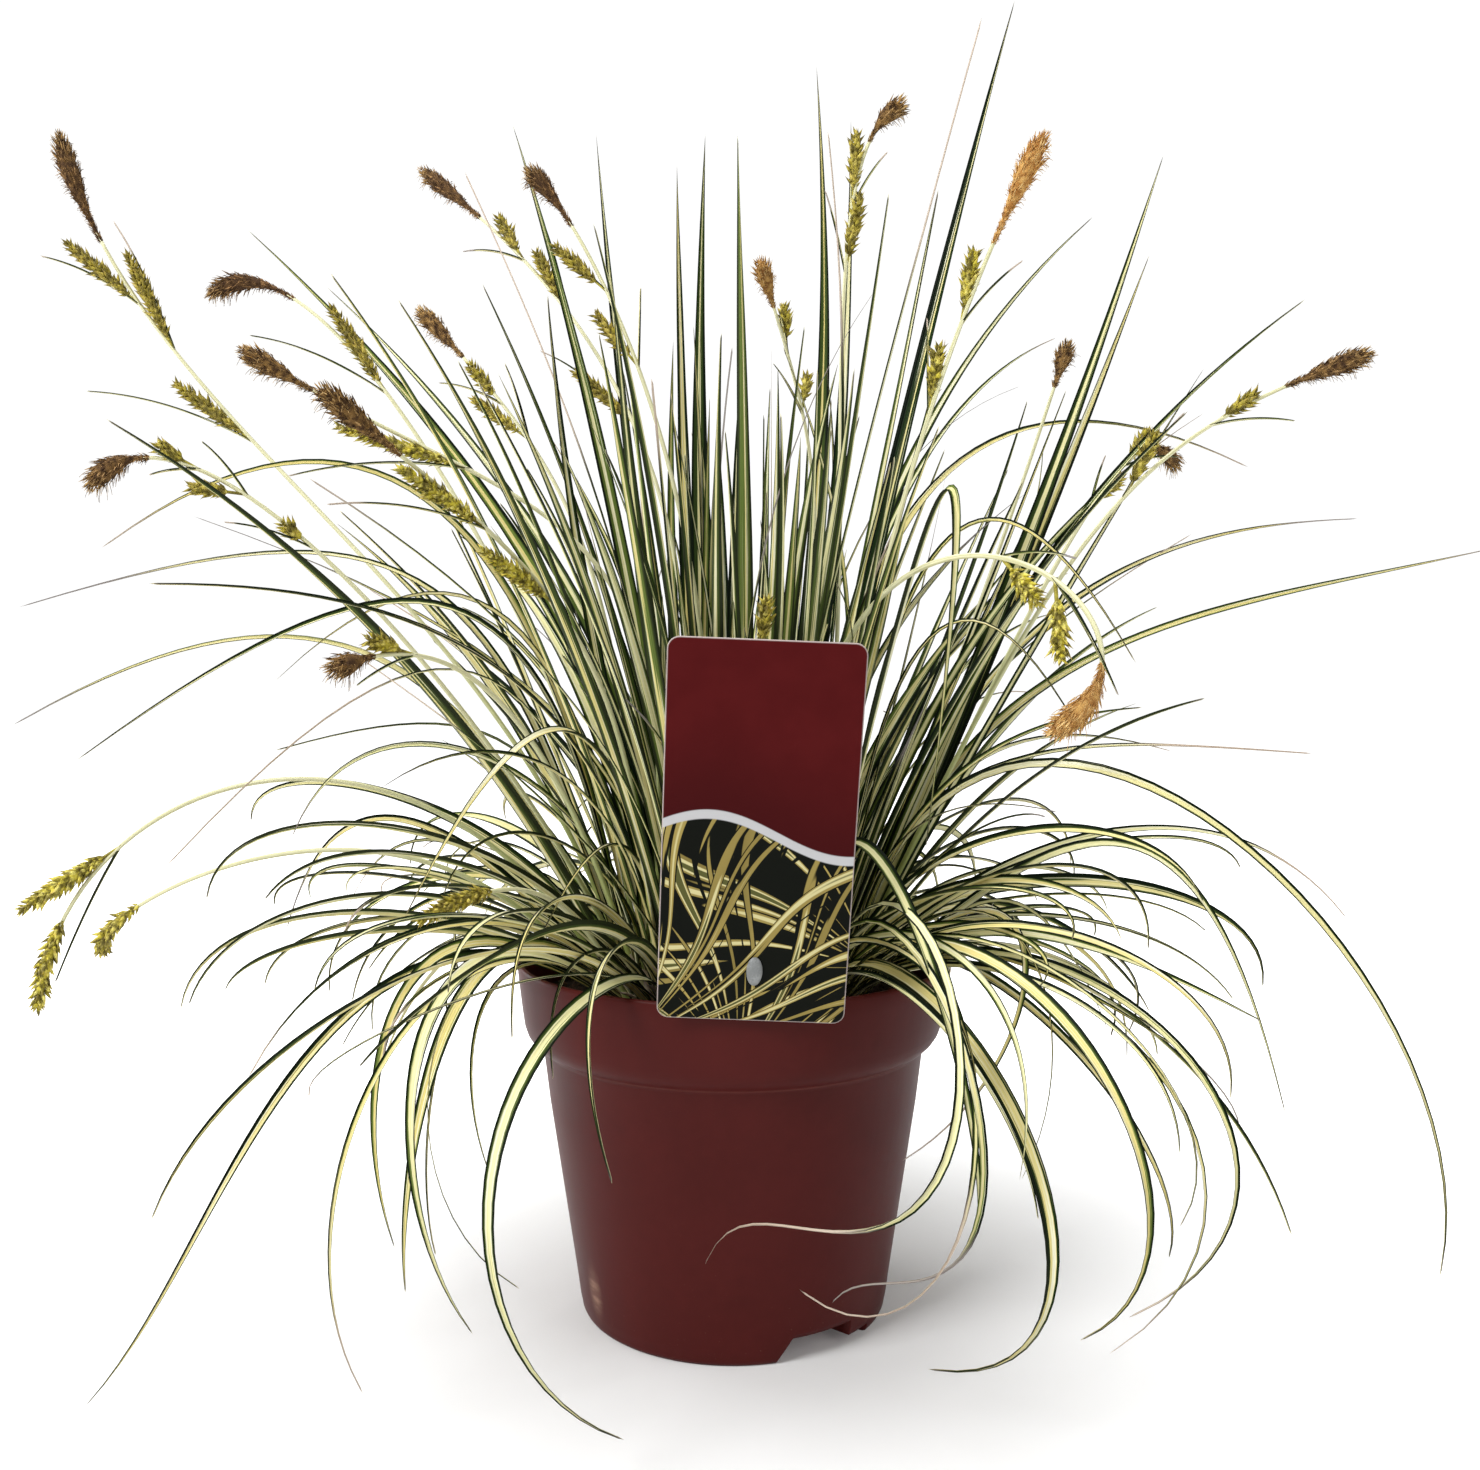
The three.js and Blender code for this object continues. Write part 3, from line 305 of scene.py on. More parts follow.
def claim(points, owner):
    """Marks the cells at the eight corners of a 1 mm cube round each point."""
    found = cells((points[:, None, :] + CORNERS).reshape(-1, 3))
    air[found[(found >= 0) & (found < len(air))]] = owner


def blade_points(plant):
    """Points all over a blade: six across it, half a millimetre proud of its edges, at the spacing along it."""
    steps = math.ceil(length_of(plant) / SPACING)
    shares = np.arange(steps + 1) / steps
    at, _, across, _ = station(plant, shares)
    half = width_at(plant, shares) / 2 + 0.5
    spread = np.array([-1, -0.6, -0.2, 0.2, 0.6, 1])
    return (at[:, None, :] + across[:, None, :] * (half[:, None] * spread)[..., None]).reshape(-1, 3)


def bar_points(place, radius, length):
    """Points through a round bar: its middle, eight at its radius and five at half of it, at the spacing."""
    steps = math.ceil(length / SPACING)
    at, _, across, above = place(np.arange(steps + 1) / steps)
    found = [at]
    for reach, sides in ((radius, 8), (radius / 2, 5)):
        ring = swung(across[:, None], above[:, None], even_turns(sides))
        found.append((at[:, None] + reach * ring).reshape(-1, 3))
    return np.concatenate(found)


def card_frame():
    """The card's turn and its foot: X across, Z up the card and -Y out of its face."""
    lean, roll = math.radians(CARD["lean"]), math.radians(CARD["roll"])
    about_x = np.array([[1, 0, 0], [0, math.cos(lean), -math.sin(lean)], [0, math.sin(lean), math.cos(lean)]])
    about_y = np.array([[math.cos(roll), 0, math.sin(roll)], [0, 1, 0], [-math.sin(roll), 0, math.cos(roll)]])
    return about_x @ about_y, np.array(CARD["foot"], float)


CARD_TURN, CARD_FOOT = card_frame()


def on_card(points):
    """Turns card coordinates to the part's frame."""
    return np.asarray(points, float) @ CARD_TURN.T + CARD_FOOT


STAKE_PLACE = on_card([STAKE["across"], 0, STAKE["up"]])


def stake_axis(shares):
    """The stake's route: back over the rim along its arm, then down its tang."""
    shares = np.asarray(shares, float)
    back = np.minimum(1, shares * 2)
    down = np.maximum(0, shares * 2 - 1)
    x, y, z = STAKE_PLACE
    at = np.stack([x + 0 * shares, y + (STAKE["tang_y"] + 1 - y) * back, z - (z - SOIL["top"]) * down], -1)
    same = np.ones((len(shares), 1))
    return at, None, same * np.array([1, 0, 0]), same * np.array([0, 0, 1])


def clear_of_holder(points):
    """Outside the pot a blade hangs clear of the rim, and inside it clear of the soil and the card."""
    radius = np.hypot(points[:, 0], points[:, 1])
    z = points[:, 2]
    over_soil = (radius < SOIL["crown"]) | (z > SOIL["top"] + CLEAR["soil"])
    over_rim = z > POT["height"] + CLEAR["rim_above"]
    pot = np.where(radius > POT["rim"] - CLEAR["rim_inside"], over_rim, over_soil)
    pot = np.where(radius > POT["rim"] + CLEAR["rim_outside"], z > CLEAR["floor"], pot)
    x, y, up = ((points - CARD_FOOT) @ CARD_TURN).T
    beside_card = (abs(x) > CARD["width"] / 2 + CLEAR["card"]) | (up > CARD["height"] + CLEAR["card"])
    return pot & (beside_card | (y > CLEAR["card_back"]))


def fits(plant, owner, crossing=False):
    """A new blade may touch its own tuft only among the sheaths. A crossing one only keeps off the stems."""
    points = blade_points(plant)
    found = cells(points)
    if found.min() < 0 or found.max() >= len(air):
        return False
    holder = air[found]
    own = (holder == owner) & (points[:, 2] < ROOT_HEIGHT + SHEATH)
    free = holder != STEM_OWNER if crossing else (holder == 0) | own
    return bool((free & clear_of_holder(points)).all())


# ---- the growth of the tufts

def leaning_blade(draw, heading):
    """Long blades of a ring tuft that lean out, nearly straight."""
    start = between(draw, 56, 74)
    first = between(draw, 100, 165)
    heading += between(draw, -8.5, 8.5)
    drift, root = between(draw, -6, 6), between(draw, 34, 48)
    width, turn = between(draw, 3.5, 6), between(draw, -70, 70)
    legs = ((start, first), (start - between(draw, 0, 50), between(draw, 80, 150)))
    return blade(heading, drift, root, width, turn, legs)


def arching_blade(draw, heading):
    """Shorter blades that arch low over the rim and hang down outside it."""
    start = between(draw, 46, 74)
    heading += between(draw, -8.5, 8.5)
    drift, root = between(draw, -12, 12), between(draw, 40, 52)
    width, turn = between(draw, 3, 5.5), between(draw, -50, 50)
    rise = (start, between(draw, 45, 85))
    over = (between(draw, -30, 15), between(draw, 60, 120))
    fall = (between(draw, -110, -50), between(draw, 20, 70))
    return blade(heading, drift, root, width, turn, (rise, over, fall))


def heart_blade(draw, heading):
    """Upright blades of the heart."""
    start = between(draw, 70, 90)
    heading += between(draw, -33, 33)
    drift, root = between(draw, -14, 14), between(draw, 11, 25)
    width, turn = between(draw, 4, 7.5), between(draw, -70, 70)
    first = (start, between(draw, 90, 165))
    second = (start + between(draw, -38, 10), between(draw, 60, 140))
    return blade(heading, drift, root, width, turn, (first, second))


def fill(tuft, rule, wanted):
    """Draws blades by a rule and keeps those that find room, until the tuft has as many as wanted."""
    kept = 0
    for _ in range(TRIES * wanted):
        if kept == wanted:
            break
        grown = rule(tuft["draw"], tuft["heading"])
        if fits(grown, tuft["owner"]):
            claim(blade_points(grown), tuft["owner"])
            tuft["blades"].append(grown)
            kept += 1


def tufts_of(layout, rows, first_owner):
    """The tufts of a layout, each with the set blades whose headings lie within its share of the circle."""
    made = []
    for i in range(layout["tufts"]):
        heading = layout["first"] + i * layout["step"]
        own = [blade(*row) for row in rows if abs((row[0] - heading + 180) % 360 - 180) < layout["step"] / 2]
        owner = first_owner + i
        draw = number_stream(SEED + owner)
        made.append(dict(heading=heading, owner=owner, blades=own, layout=layout, draw=draw))
    return made


def grow_tufts(stems):
    """Stems, the stake and the set blades take their room first. Then the tufts fill up, heart before ring."""
    for stem in stems:
        bars = [(lambda shares: station(stem, shares), STEM_RADIUS + ROOM["stem"], length_of(stem))]
        bars.append((head_place(stem), MALE_RADIUS + ROOM["male"], stem["head"]))
        bars += [(ear_place(stem, ear), EAR["radius"] + ROOM["ear"], ear[1]) for ear in stem["ears"]]
        for place, radius, length in bars:
            claim(bar_points(place, radius, length), STEM_OWNER)
    claim(bar_points(stake_axis, STAKE["arm"] / 2 + ROOM["stake"], STAKE["route"]), STEM_OWNER)
    ring = tufts_of(RING, RING_BLADES, 1)
    heart = tufts_of(HEART, HEART_BLADES, 1 + RING["tufts"])
    for tuft in ring + heart:
        for grown in tuft["blades"]:
            claim(blade_points(grown), tuft["owner"])
    for tuft in heart:
        fill(tuft, heart_blade, FILL["heart"])
    for tuft in ring:
        fill(tuft, arching_blade, FILL["arching"])
        fill(tuft, leaning_blade, FILL["leaning"])
    return ring + heart


# ---- surfaces

def skin(rings, first, last, across=None, **tones):
    """A closed surface through rings of points (rows, columns, XYZ), with a pole at each end.

    Every cell of the grid is two triangles and each pole is a fan. The UV map runs across the columns and along
    the rows, and each tone is a number, or a number for every point of the grid.
    """
    rows, columns = rings.shape[:2]
    k, i = np.meshgrid(np.arange(rows - 1), np.arange(columns), indexing="ij")
    j = (i + 1) % columns
    a, b, c, d = k * columns + i, k * columns + j, (k + 1) * columns + i, (k + 1) * columns + j
    i, j = np.arange(columns), (np.arange(columns) + 1) % columns
    foot, top = np.full(columns, rows * columns), (rows - 1) * columns
    faces = np.concatenate([
        np.stack([a, b, d, a, d, c], -1).reshape(-1, 3),
        np.stack([foot, j, i], -1),
        np.stack([top + i, top + j, foot + 1], -1),
    ])
    across = np.arange(columns) / columns if across is None else across
    uv = np.stack(np.broadcast_arrays(across[None, :], np.linspace(0, 1, rows)[:, None]), -1).reshape(-1, 2)
    uv = np.concatenate([uv, [[0.5, 0], [0.5, 1]]])
    spread = {}
    for name, tone in tones.items():
        grid = np.broadcast_to(np.asarray(tone, float), (rows, columns))
        spread[name] = np.concatenate([grid.ravel(), [grid[0].mean(), grid[-1].mean()]])
    return dict(points=np.concatenate([rings.reshape(-1, 3), [first], [last]]), faces=faces, uv=uv, tones=spread)


def ring_round(at, across, above, radius, sides, lobes=0.0):
    """Rings of points round a line: radius times one plus lobes times the cosine of three times the turn."""
    turns = even_turns(sides)
    reach = np.broadcast_to(np.asarray(radius, float), (len(at),))[:, None] * (1 + lobes * np.cos(3 * turns))
    return (at[:, None] + across[:, None] * (reach * np.cos(turns))[..., None]
            + above[:, None] * (reach * np.sin(turns))[..., None])


def copies(shape, at, axes, sizes, **tones):
    """Many copies of one small surface: each point is scaled by its copy's sizes and turned by its three axes."""
    count, points = len(at), len(shape["points"])
    placed = np.einsum("pk,nk,nkx->npx", shape["points"], sizes, axes) + at[:, None]
    faces = shape["faces"][None] + (np.arange(count) * points)[:, None, None]
    spread = {name: np.repeat(np.broadcast_to(tone, (count,)), points) for name, tone in tones.items()}
    return dict(points=placed.reshape(-1, 3), faces=faces.reshape(-1, 3), uv=np.tile(shape["uv"], (count, 1)),
                tones=spread)


def piece(name, surfaces, material, replaced=()):
    """One object out of several surfaces, in metres, riding on the part. Tones become its points' attributes."""
    starts = np.cumsum([0] + [len(s["points"]) for s in surfaces])
    points = np.concatenate([s["points"] for s in surfaces]) * 0.001
    faces = np.concatenate([s["faces"] + start for s, start in zip(surfaces, starts)])
    uv = np.concatenate([s["uv"] for s in surfaces])
    mesh = bpy.data.meshes.new(name)
    mesh.vertices.add(len(points))
    mesh.vertices.foreach_set("co", points.ravel())
    mesh.loops.add(faces.size)
    mesh.loops.foreach_set("vertex_index", faces.ravel().astype(np.int32))
    mesh.polygons.add(len(faces))
    mesh.polygons.foreach_set("loop_start", np.arange(0, faces.size, 3, dtype=np.int32))
    mesh.polygons.foreach_set("use_smooth", np.ones(len(faces), bool))
    mesh.update(calc_edges=True)
    mesh.uv_layers.new(name="surface").data.foreach_set("uv", uv[faces.ravel()].ravel())
    for tone in sorted({key for s in surfaces for key in s["tones"]}):
        values = np.concatenate([s["tones"].get(tone, np.zeros(len(s["points"]))) for s in surfaces])
        mesh.attributes.new(tone, "FLOAT", "POINT").data.foreach_set("value", values.astype(np.float32))
    mesh.materials.append(material)
    made = bpy.data.objects.new(name, mesh)
    bpy.context.collection.objects.link(made)
    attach(made, "root")
    if replaced:
        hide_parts(*replaced)


# ---- leaves

FINE = dict(rows=36, wide=1.28, keel=0.4, edge_rise=0.35, fold=0.22, skin=0.34, root_depth=10)
COMPANIONS = dict(share=1.0, low_share=0.95, heart_share=1.7, rows=26, wisps=0.3, wisp_spread=2.2,
                  heart_spread=2.3, heart_turn=8)
STUBS = dict(count=16, rows=8, cream=0.5)
# how much of a blade has dried when its dryness is 1
DRIED_SHARE = 0.62
# the limits that keep the added blades off the pot's front and inside the frame's box
OUT_OF_PLACE = dict(pot_aside=72, pot_forward=60, pot_below=112, corner_aside=215, corner_forward=55, forward=195)
SEEDS = dict(leaves=2200, stems=3000, ears=4000, males=6000, per_stem=20, tip=9)


def ribbon(frames, half, thick):
    """A folded blade.

    Its underside rises from the keel to the edges by the fold times a power of the share of the half width. Its
    upper side lies above it by a thickness that halves towards the edges, and both sides meet at sharp edges.
    """
    at, _, across, above = frames
    u = np.array([1, 0.92, 0.52, 0, -0.52, -0.92, -1])
    fold = FINE["keel"] + FINE["edge_rise"] * np.minimum(1, half)[:, None] + FINE["fold"] * half[:, None]
    lower = -FINE["keel"] + fold * abs(u) ** 1.25
    upper = lower + thick * (1 - 0.55 * abs(u))
    spread = np.concatenate([u, u[::-1]])
    height = np.concatenate([upper, lower[:, ::-1]], 1)
    rings = (at[:, None] + across[:, None] * (half[:, None] * spread)[..., None]
             + above[:, None] * height[..., None])
    return rings, (spread + 1) / 2, np.repeat([[0.0, 1.0]], len(u), axis=1)


def blade_surface(plant, draw, rows, cream):
    """A blade on its curve, with a slow twist and a slow sideways wander that both grow towards its tip."""
    shares = np.linspace(0, 0.992, rows)
    at, along, across, above = station(plant, shares)
    tip = station(plant, [1.0])[0][0]
    sway = 2 * math.pi * (between(draw, 0.6, 1.5) * shares + next(draw))
    twist = between(draw, 0.05, 0.3) * np.sin(sway) * shares
    wander = between(draw, -0.9, 0.9) * np.sin(sway * 0.8) * shares * (1 - shares)
    across, above = swung(across, above, twist), swung(above, -across, twist)
    at = at + across * wander[:, None]
    dried = smooth_step(0.97, 1.09, shares + DRIED_SHARE * plant["dry"])
    half = FINE["wide"] * width_at(plant, shares) / 2 * (1 + 0.05 * np.sin(3 * sway)) * (1 - 0.45 * dried)
    rings, sides, under = ribbon((at, along, across, above), half, FINE["skin"])
    root = polar(plant["root"] - 2, plant["heading"], ROOT_HEIGHT - FINE["root_depth"])
    return skin(rings, root, tip, sides, under=under, cream=cream, tone=next(draw), dry=plant["dry"])


def cream_share(plant, owner, draw):
    """How much of a blade's width is cream: most on low arching blades, least on the upright ones in the heart."""
    if owner > RING["tufts"]:
        return between(draw, 0.18, 0.42)
    if plant["legs"][-1][0] < 0:
        return between(draw, 0.38, 0.62)
    return between(draw, 0.26, 0.48)


def companion(draw, plant):
    """A thinner blade that grew a few degrees off another, further in the heart, or a wisp as thin as a hair."""
    wisp = next(draw) < COMPANIONS["wisps"]
    size = between(draw, 0.8, 1.08) if wisp else between(draw, 0.55, 0.95)
    slim = between(draw, 0.16, 0.3) if wisp else between(draw, 0.4, 0.85)
    spread = COMPANIONS["wisp_spread"] if wisp else 1.0
    turned = between(draw, -6, 6)
    if plant["root"] < HEART["outer"]:
        spread, turned = COMPANIONS["heart_spread"] * spread, COMPANIONS["heart_turn"] * turned
    lean, bend = between(draw, -5, 5) * spread, between(draw, -12, 7) * spread
    legs = tuple((angle + lean + bend * k, length * size) for k, (angle, length) in enumerate(plant["legs"]))
    drift, root = plant["drift"] + between(draw, -8, 8) * spread, plant["root"] + between(draw, -5, 3)
    turn = plant["turn"] + between(draw, -35, 35)
    dry = max(0, between(draw, -0.4, 0.75) if wisp else between(draw, -0.9, 0.4))
    return blade(plant["heading"] + turned, drift, root, plant["width"] * slim, turn, legs, dry)


def out_of_place(plant):
    """Whether a blade hangs before the pot's wall, or reaches too far forward or into a corner of the front."""
    limit = OUT_OF_PLACE
    x, y, z = station(plant, np.linspace(0, 1, 40))[0].T
    hangs = (abs(x) < limit["pot_aside"]) & (y < -limit["pot_forward"]) & (z < limit["pot_below"])
    wide = (abs(x) > limit["corner_aside"]) & (y < -limit["corner_forward"])
    return np.any(hangs | wide | (y < -limit["forward"]))


def old_bases(tuft, draw):
    """Stubs of old leaves between the living ones: short dry ribbons that draw out to a point."""
    layout = tuft["layout"]
    made = []
    for _ in range(STUBS["count"]):
        away = between(draw, -0.42, 0.42) * layout["step"]
        root = between(draw, layout["inner"] + 3, layout["outer"] - 3)
        lean = between(draw, 70, 92) - 22 * root / layout["outer"]
        legs = ((lean, between(draw, 8, 18)), (lean - between(draw, 5, 40), between(draw, 5, 16)))
        stub = blade(tuft["heading"] + away, 0, root, between(draw, 3.5, 6.5), between(draw, -60, 60), legs, 1.0)
        made.append(blade_surface(stub, draw, STUBS["rows"], STUBS["cream"]))
    return made


CURLED_LEAF = blade(-56, -9, 48, 2.5, 30, ((70, 155), (-64, 290), (-212, 130), (-128, 58)), 0.6)
CURLED_LEAF_TUFT = 2


def leaf_tuft(number, tuft, material):
    """The blades of one tuft, thinner ones between them, and the stubs they stand among.

    One tuft also has a thin leaf whose dried end curls back under the others.
    """
    draw = number_stream(SEEDS["leaves"] + number)
    surfaces = []
    for plant in tuft["blades"]:
        surfaces.append(blade_surface(plant, draw, FINE["rows"], cream_share(plant, tuft["owner"], draw)))
    for plant in tuft["blades"]:
        low = "low_share" if plant["legs"][-1][0] < 0 else "share"
        share = COMPANIONS[low if tuft["owner"] <= RING["tufts"] else "heart_share"]
        for _ in range(int(share + next(draw))):
            grown = companion(draw, plant)
            if not out_of_place(grown) and fits(grown, tuft["owner"], crossing=True):
                cream = cream_share(grown, tuft["owner"], draw)
                surfaces.append(blade_surface(grown, draw, COMPANIONS["rows"], cream))
    surfaces += old_bases(tuft, draw)
    if number == CURLED_LEAF_TUFT:
        surfaces.append(blade_surface(CURLED_LEAF, draw, FINE["rows"], STUBS["cream"]))
    piece(f"leaf_blades_{number:02d}", surfaces, material, [f"leaf_tuft_{number:02d}"])


# ---- flower spikes

def spindle(profile, sides):
    """A small closed shape along Z from 0 to 1, round, with radii at heights between its two points."""
    heights, radii = np.array(profile).T
    return skin(around(radii[:, None], even_turns(sides), heights[:, None]), [0, 0, 0], [0, 0, 1])


FRUIT = dict(shape=spindle([(0.12, 0.6), (0.34, 1.0), (0.56, 0.66), (0.78, 0.2)], 5), size=(0.88, 0.66, 5.0),
             per_mm=3.2)
SCALE = dict(shape=spindle([(0.15, 0.7), (0.45, 1.0), (0.8, 0.4)], 3), size=(0.36, 0.28, 4.2), per_mm=9)
THREADS_PER_MM = 6
GOLDEN_ANGLE = 2.39996


def ear_radius(shares):
    """Fat in the middle: a power of the sine of the share of half a turn."""
    return EAR["radius"] * np.maximum(0.2, np.sin(math.pi * shares) ** 0.65)


def male_radius(shares):
    """A club, thickest above its middle: a power of the sine of the squared share of half a turn."""
    return MALE_RADIUS * np.maximum(0.22, np.sin(math.pi * shares ** 2) ** 0.75)


def spiral(place, count, radius, tuck, slant, jitter, draws):
    """Seats for scales on a spike.

    Each stands a golden angle round from the last and a step further up, tucked in to a share of the spike's
    radius, and slants out from the axis.
    """
    index = np.arange(count)
    shares = (index + 0.5) / count
    at, along, across, above = place(shares)
    out = swung(across, above, index * GOLDEN_ANGLE)
    side = np.cross(along, out)
    axis = swung(along, out, np.radians(slant + jitter * (draws[:count] * 2 - 1)))
    axis = unit(axis + side * (0.12 * jitter / 10 * (draws[count:2 * count] * 2 - 1))[:, None])
    side = unit(np.cross(axis, out))
    seat = at + out * (radius(shares) * tuck)[:, None]
    return seat, np.stack([side, np.cross(axis, side), axis], 1), shares


def core(place, radius, share, sides=9, rows=14):
    """The axis of a spike that its scales stand on."""
    shares = np.linspace(0.02, 0.98, rows)
    at, _, across, above = place(shares)
    rings = ring_round(at, across, above, radius(shares) * share, sides)
    return skin(rings, place([0.0])[0][0], place([1.0])[0][0], tone=0.2, tip=0.25)


def studded(kind, seats, sizes, **tones):
    """Copies of one kind of scale at their seats, with a tone that runs from 0 at its foot to 1 at its tip."""
    seat, axes, _ = seats
    made = copies(kind["shape"], seat, axes, sizes[:, None] * np.array(kind["size"]), **tones)
    made["tones"]["tip"] = np.tile(kind["shape"]["points"][:, 2], len(seat))
    return made


def toned(surface, tone, value):
    """The surface with one more tone, the same all over."""
    surface["tones"][tone] = np.full(len(surface["points"]), float(value))
    return surface


def green_ear(place, length, yellow, seed):
    """A female spike: pointed green fruits that stand out from the axis like an ear of wheat."""
    count = int(length * FRUIT["per_mm"])
    draws = np.random.default_rng(seed).random(4 * count)
    seats = spiral(place, count, ear_radius, tuck=0.28, slant=37, jitter=14, draws=draws)
    sizes = (0.74 + 0.26 * np.sin(math.pi * seats[2])) * (0.8 + 0.4 * draws[2 * count:3 * count])
    fruits = studded(FRUIT, seats, sizes, tone=draws[3 * count:], yellow=yellow)
    return [fruits, toned(core(place, ear_radius, 0.5), "yellow", yellow)]


def threads(place, count, radius, seed):
    """Spent anthers: fine threads that leave the spike outwards and bend down under their own weight."""
    rng = np.random.default_rng(seed)
    shares = rng.uniform(0.04, 0.97, count)
    at, along, across, above = place(shares)
    turns = rng.uniform(0, 2 * math.pi, count)
    out = swung(across, above, turns)
    reach = (rng.uniform(0.8, 3.2, count) * (0.4 + shares))[:, None, None]
    step = np.linspace(0, 1, 5)[None, :, None]
    lift = rng.uniform(0.3, 1.5, count)[:, None, None]
    path = (at + out * (0.75 * radius(shares))[:, None])[:, None] + reach * (
        out[:, None] * step * 0.65 + along[:, None] * step * lift * 0.6
        + np.array([0, 0, -1]) * step ** 2 * 0.55)
    course = unit(np.gradient(path, axis=1))
    wide = unit(np.cross(course, (along + 0.3 * np.cross(along, out))[:, None]))
    high = np.cross(course, wide)
    thick = 0.15 * (1 - 0.55 * step)
    rings = np.stack([path + thick * (wide * math.cos(turn) + high * math.sin(turn)) for turn in even_turns(3)],
                     axis=2)
    return [
        skin(rings[n], path[n, 0], path[n, -1], tone=float(turns[n] / 7), tip=0.8, up=float(shares[n]))
        for n in range(count)
    ]


def male_spike(place, length, seed, golden):
    """A male spike: narrow scales that stand out all round it, with threads hanging from between them."""
    count = int(length * SCALE["per_mm"])
    draws = np.random.default_rng(seed).random(4 * count)
    seats = spiral(place, count, male_radius, tuck=0.55, slant=19, jitter=17, draws=draws)
    sizes = (0.4 + 0.6 * male_radius(seats[2]) / MALE_RADIUS) * (0.65 + 0.7 * draws[2 * count:3 * count])
    scales = studded(SCALE, seats, sizes, tone=draws[3 * count:], up=seats[2])
    surfaces = [scales, toned(core(place, male_radius, 0.66), "up", 0.4)]
    surfaces += threads(place, int(length * THREADS_PER_MM), male_radius, seed + 1)
    return [toned(surface, "golden", golden) for surface in surfaces]


def stem_surface(stem):
    """A stem with three soft corners, thinner towards its spikes."""
    top = share_below_tip(stem, stem["head"] * 0.9)
    shares = np.linspace(0, top, 44)
    at, _, across, above = station(stem, shares)
    rings = ring_round(at, across, above, STEM_RADIUS * (1 - 0.4 * shares), sides=9, lobes=0.12)
    root = polar(stem["root"] - 1, stem["heading"], SOIL["crown_floor"] + GAP)
    return skin(rings, root, at[-1], tone=0.5)


def bract(stem, ear, index, draw):
    """The thin leaf under an ear: it follows the ear at a slant on the other side, and droops."""
    seat = share_below_tip(stem, stem["head"] + GAP + ear[0] + 1)
    at, along, across, above = (values[0] for values in station(stem, [seat]))
    slant = math.radians(between(draw, 12, 26)) * (1 if index % 2 else -1)
    start = along * math.cos(slant) + above * math.sin(slant)
    length = ear[1] * between(draw, 0.9, 1.5) + 0.25 * ear[0]
    shares = np.linspace(0, 0.98, 16)[:, None]
    path = at + length * (start * shares + np.array([0, 0, -0.22]) * shares ** 2)
    course = unit(np.gradient(path, axis=0))
    side = unit(np.cross(course, np.cross(across, course)))
    half = between(draw, 0.5, 0.95) * (1 - shares[:, 0] ** 2)
    rings, sides, under = ribbon((path, course, side, np.cross(course, side)), half, 0.25)
    return skin(rings, at, path[-1] + course[-1] * 0.02 * length, sides, under=under, cream=0.45,
                tone=next(draw), dry=max(0, between(draw, -0.3, 0.5)))


def flowering_stem(number, stem, finishes):
    """A stem with its green ears, its bracts and the spike at its tip."""
    draw = number_stream(SEEDS["stems"] + number)
    ear_seed, male_seed = (SEEDS[kind] + SEEDS["per_stem"] * number for kind in ("ears", "males"))
    node = f"flower_stem_{number:02d}"
    piece(f"stem_{number:02d}", [stem_surface(stem)], finishes["stem"], [node])
    ears, bracts = [], []
    for index, ear in enumerate(stem["ears"]):
        whole = ear_place(stem, ear)
        stalk = EAR["stalk"] / ear[1]
        ears += green_ear(beyond(whole, stalk), ear[1] - EAR["stalk"], stem["yellow"], ear_seed + index)
        at, _, across, above = whole(np.linspace(0, 1.3 * stalk, 4))
        stalk_rings = ring_round(at, across, above, EAR["stalk_radius"], sides=6)
        ears.append(skin(stalk_rings, at[0], at[-1], tone=0.5, yellow=1.0))
        bracts.append(bract(stem, ear, index, draw))
    if not stem["male"]:
        ears += green_ear(head_place(stem), stem["head"], stem["yellow"], ear_seed + SEEDS["tip"])
    if ears:
        piece(f"green_ears_{number:02d}", ears, finishes["ear"], [node])
    if bracts:
        piece(f"bracts_{number:02d}", bracts, finishes["leaf"])
    if stem["male"]:
        furry = male_spike(head_place(stem), stem["head"], male_seed, stem["golden"])
        piece(f"furry_spike_{number:02d}", furry, finishes["male"], [f"male_spike_{number:02d}"])


# ---- pot and soil

WALL_LINE = [
    (0, 0), (30, 0), (43.5, 0), (58.6, 0), (59.8, 0.4), (60.3, 1.5), (60.5, 2.7), (60.6, 3.3), (61.0, 5.1),
    (61.3, 7), (61.5, 8.7), (61.6, 9.3), (61.8, 11), (63.4, 22), (66.5, 43), (69.5, 63), (72.5, 83),
    (75.0, 103.6), (75.3, 104.9), (75.9, 105.4), (77.6, 106.2), (79.6, 108), (81.2, 110.4), (82.2, 113.4),
    (83.0, 119), (84.4, 131), (84.95, 136.6), (84.7, 137.6), (84.1, 138), (83.4, 137.9), (83.0, 137.3),
    (82.3, 131), (81.0, 119), (80.4, 113.8), (79.0, 111), (76.2, 108.2), (73.6, 105.6), (70.9, 83), (67.9, 63),
    (64.9, 43), (61.8, 22), (60.1, 12), (59.9, 10.9), (59.8, 10.5), (59.4, 4.9), (59.3, 4.5), (58.8, 2.4),
    (41.5, 2.4), (30, 2.4), (0, 2.4),
]
SOIL_SIDE = [
    (20, 2.7), (41, 2.7), (57.8, 2.7), (58.2, 5.0), (58.3, 5.8), (58.8, 11.0), (58.9, 11.7), (60.5, 22),
    (69.0, 83), (73.0, 105.2), (79.4, 112.6), (80.2, 116), (80.4, 118.6),
]
WALL_SIDES = 168
SOIL_MARGIN = 2.6
MOULD_LINE = dict(z=105.3, height=0.4, spread=0.6)
